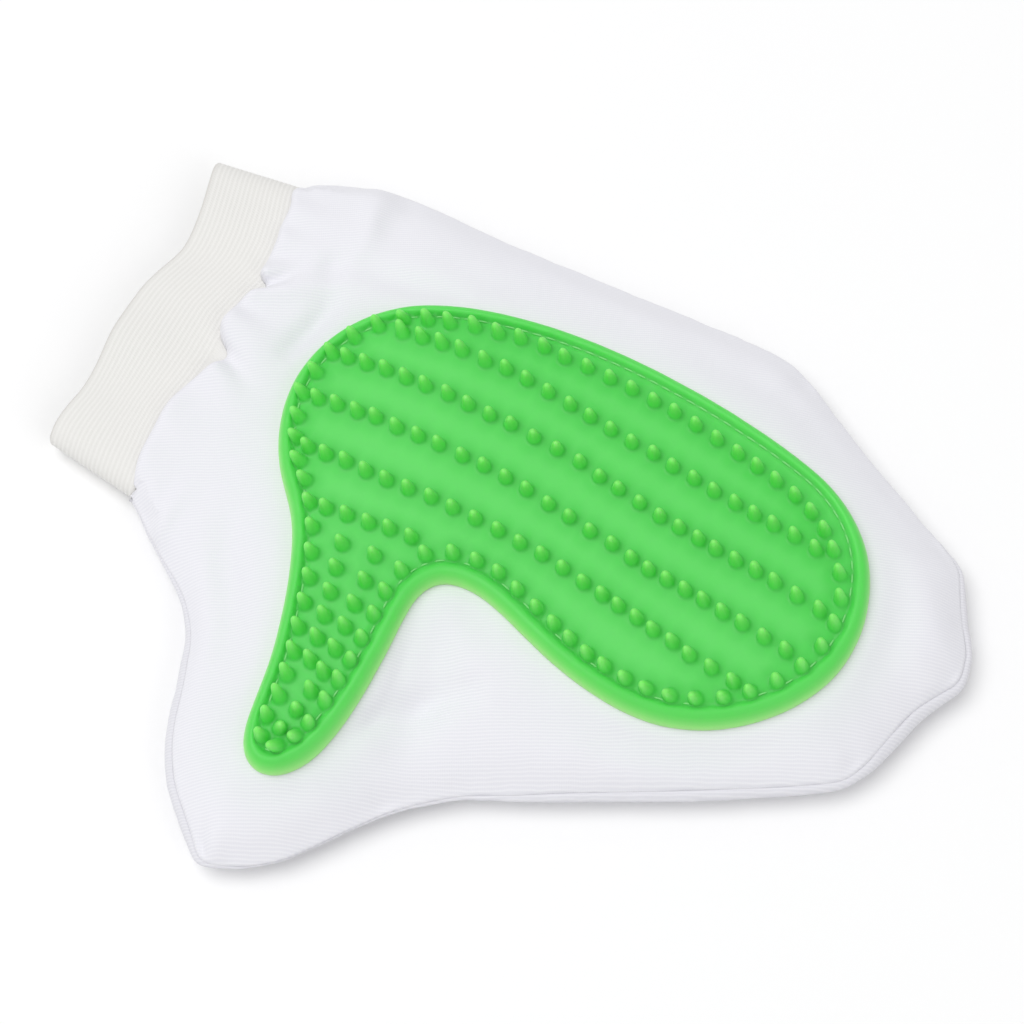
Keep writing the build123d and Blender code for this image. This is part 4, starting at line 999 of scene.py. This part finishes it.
def moulded():
    m, t, s = material("green_moulding")
    co = mark(t, "rest", True)
    cloud = node(t, "ShaderNodeTexNoise", [(0, co)], in_2=0.07, in_3=2.0).outputs["Fac"]
    grain = node(t, "ShaderNodeTexNoise", [(0, co)], in_2=1.6, in_3=3.0).outputs["Fac"]
    c = blendc(t, cloud, (0.078, 0.600, 0.090), (0.096, 0.660, 0.106))
    c = blendc(t, number(t, "MULTIPLY", mark(t, "between"), 0.50), c, (0.165, 0.760, 0.170))
    # painted shade: darker round each nub's foot, where the nub meets the sheet
    c = blendc(t, number(t, "MULTIPLY", mark(t, "painted_foot_shade"), 0.25), c, (0.060, 0.52, 0.070))
    c = blendc(t, number(t, "MULTIPLY", mark(t, "nub"), 0.75), c, (0.125, 0.76, 0.125))
    # painted glow of light through the thin nub tips: lighter and yellower towards each tip
    c = blendc(t, number(t, "MULTIPLY", number(t, "POWER", mark(t, "painted_tip_glow"), 1.6), 0.75), c, (0.27, 0.80, 0.17))
    c = blendc(t, number(t, "MULTIPLY", mark(t, "rim"), 0.38), c, (0.19, 0.78, 0.14))
    # painted glow: the rim's outer wall made lighter yellow-green, as light through the translucent edge
    c = blendc(t, number(t, "MULTIPLY", mark(t, "outer"), 0.80), c, (0.47, 0.94, 0.30))
    c = blendc(t, number(t, "MULTIPLY", grain, 0.08), c, (0.12, 0.70, 0.14))
    t.links.new(c, s.inputs["Base Color"])
    s.inputs["Roughness"].default_value = 0.42
    s.inputs["Specular IOR Level"].default_value = 0.34
    s.inputs["Subsurface Weight"].default_value = 0.7
    s.inputs["Subsurface Radius"].default_value = (0.4, 1.0, 0.35)
    s.inputs["Subsurface Scale"].default_value = 0.0022
    bumped(t, s, number(t, "ADD", grain, number(t, "MULTIPLY", cloud, 2.0)), 0.12, 0.0001)
    return m


def thread(name, dark, light):
    m, t, s = material(name)
    co = t.nodes.new("ShaderNodeTexCoord").outputs["Object"]
    twist = node(t, "ShaderNodeTexNoise", [(0, co)], in_2=2600.0, in_3=2.0).outputs["Fac"]
    t.links.new(blendc(t, twist, dark, light), s.inputs["Base Color"])
    s.inputs["Roughness"].default_value = 0.45
    s.inputs["Sheen Weight"].default_value = 0.1
    bumped(t, s, twist, 0.3, 0.00006)
    return m


KNIT = knit("white_knit", (0.785, 0.784, 0.832), (0.846, 0.844, 0.880))
# the back panel's knit is painted darker and greyer than the palm's: painted shade on the back's rolled-under strip by
# the seam
KNIT_BACK_PAINTED_SHADE = knit("white_knit_back_painted_shade", (0.700, 0.698, 0.742), (0.775, 0.773, 0.808))
ELASTIC, GREEN = woven(), moulded()
PALE, WHITE = thread("pale_green_thread", (0.17, 0.68, 0.18), (0.31, 0.82, 0.29)), thread("white_thread", (0.62, 0.61, 0.60), (0.82, 0.81, 0.80))
for ob, m in ((palm, KNIT), (back, KNIT_BACK_PAINTED_SHADE), (cuff, ELASTIC), (pad, GREEN), (stitching, PALE)):
    ob.data.materials.clear()
    ob.data.materials.append(m)
for name in ("side_seam_thread", "cuff_seam_thread", "cuff_join_thread"):
    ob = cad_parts[name]
    ob.data.materials.clear()
    ob.data.materials.append(WHITE)

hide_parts("palm_panel")
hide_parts("back_panel")
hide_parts("elastic_cuff")
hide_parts("grooming_pad")
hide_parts("pad_stitching")
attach(pad, "mitt")
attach(stitching, "mitt")
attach(cuff, "cuff")
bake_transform(palm)
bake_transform(back)

# ---- room, light and camera ----------------------------------------------
scene = bpy.context.scene
scene.view_settings.view_transform = "Standard"
scene.view_settings.look = "None"
bpy.ops.mesh.primitive_plane_add(size=6, location=(0, 0, -0.0004))
floor = bpy.context.object
floor.name = "floor"
m, t, s = material("floor_white")
co = t.nodes.new("ShaderNodeTexCoord").outputs["Object"]
grain = node(t, "ShaderNodeTexNoise", [(0, co)], in_2=3.0, in_3=2.0).outputs["Fac"]
t.links.new(blendc(t, grain, (0.93, 0.93, 0.935), (0.95, 0.95, 0.95)), s.inputs["Base Color"])
s.inputs["Roughness"].default_value = 0.9
s.inputs["Specular IOR Level"].default_value = 0.1
floor.data.materials.append(m)

world = bpy.data.worlds.new("studio")
scene.world = world
world.use_nodes = True
world.node_tree.nodes["Background"].inputs[0].default_value = (1.0, 1.0, 1.0, 1)
world.node_tree.nodes["Background"].inputs[1].default_value = 0.585

B = Vector((0.3367, 0.1642, 0.9272))
R = Vector((-0.4384, 0.8988, 0.0))
U = Vector((-0.8333, -0.4065, 0.3746))
TARGET = Vector((-0.024386, -0.003649, 0.0))


def lamp(name, place, size, power, colour=(1, 1, 1)):
    d = bpy.data.lights.new(name, "AREA")
    d.shape, d.size, d.energy, d.color = "DISK", size, power, colour
    ob = bpy.data.objects.new(name, d)
    scene.collection.objects.link(ob)
    ob.location = place
    ob.rotation_mode = "QUATERNION"
    ob.rotation_quaternion = (TARGET - Vector(place)).to_track_quat("-Z", "Y")
    return ob


# the key stands over the upper left of the picture, the fill opposite
lamp("key", TARGET + (U * 0.50 - R * 0.42 + B * 1.0).normalized() * 3.0, 2.6, 49.0)
lamp("fill", TARGET + (-U * 0.4 + R * 0.7 + B * 1.0).normalized() * 3.0, 1.8, 8.0)

camera = bpy.data.cameras.new("camera")
camera.lens, camera.sensor_width = 85.0, 36.0
camera.clip_start, camera.clip_end = 0.01, 20
cam = bpy.data.objects.new("camera", camera)
scene.collection.objects.link(cam)
cam.location = TARGET + B * 0.60444
cam.rotation_mode = "QUATERNION"
from mathutils import Matrix
cam.rotation_quaternion = Matrix((R, U, B)).transposed().to_quaternion()
scene.camera = cam
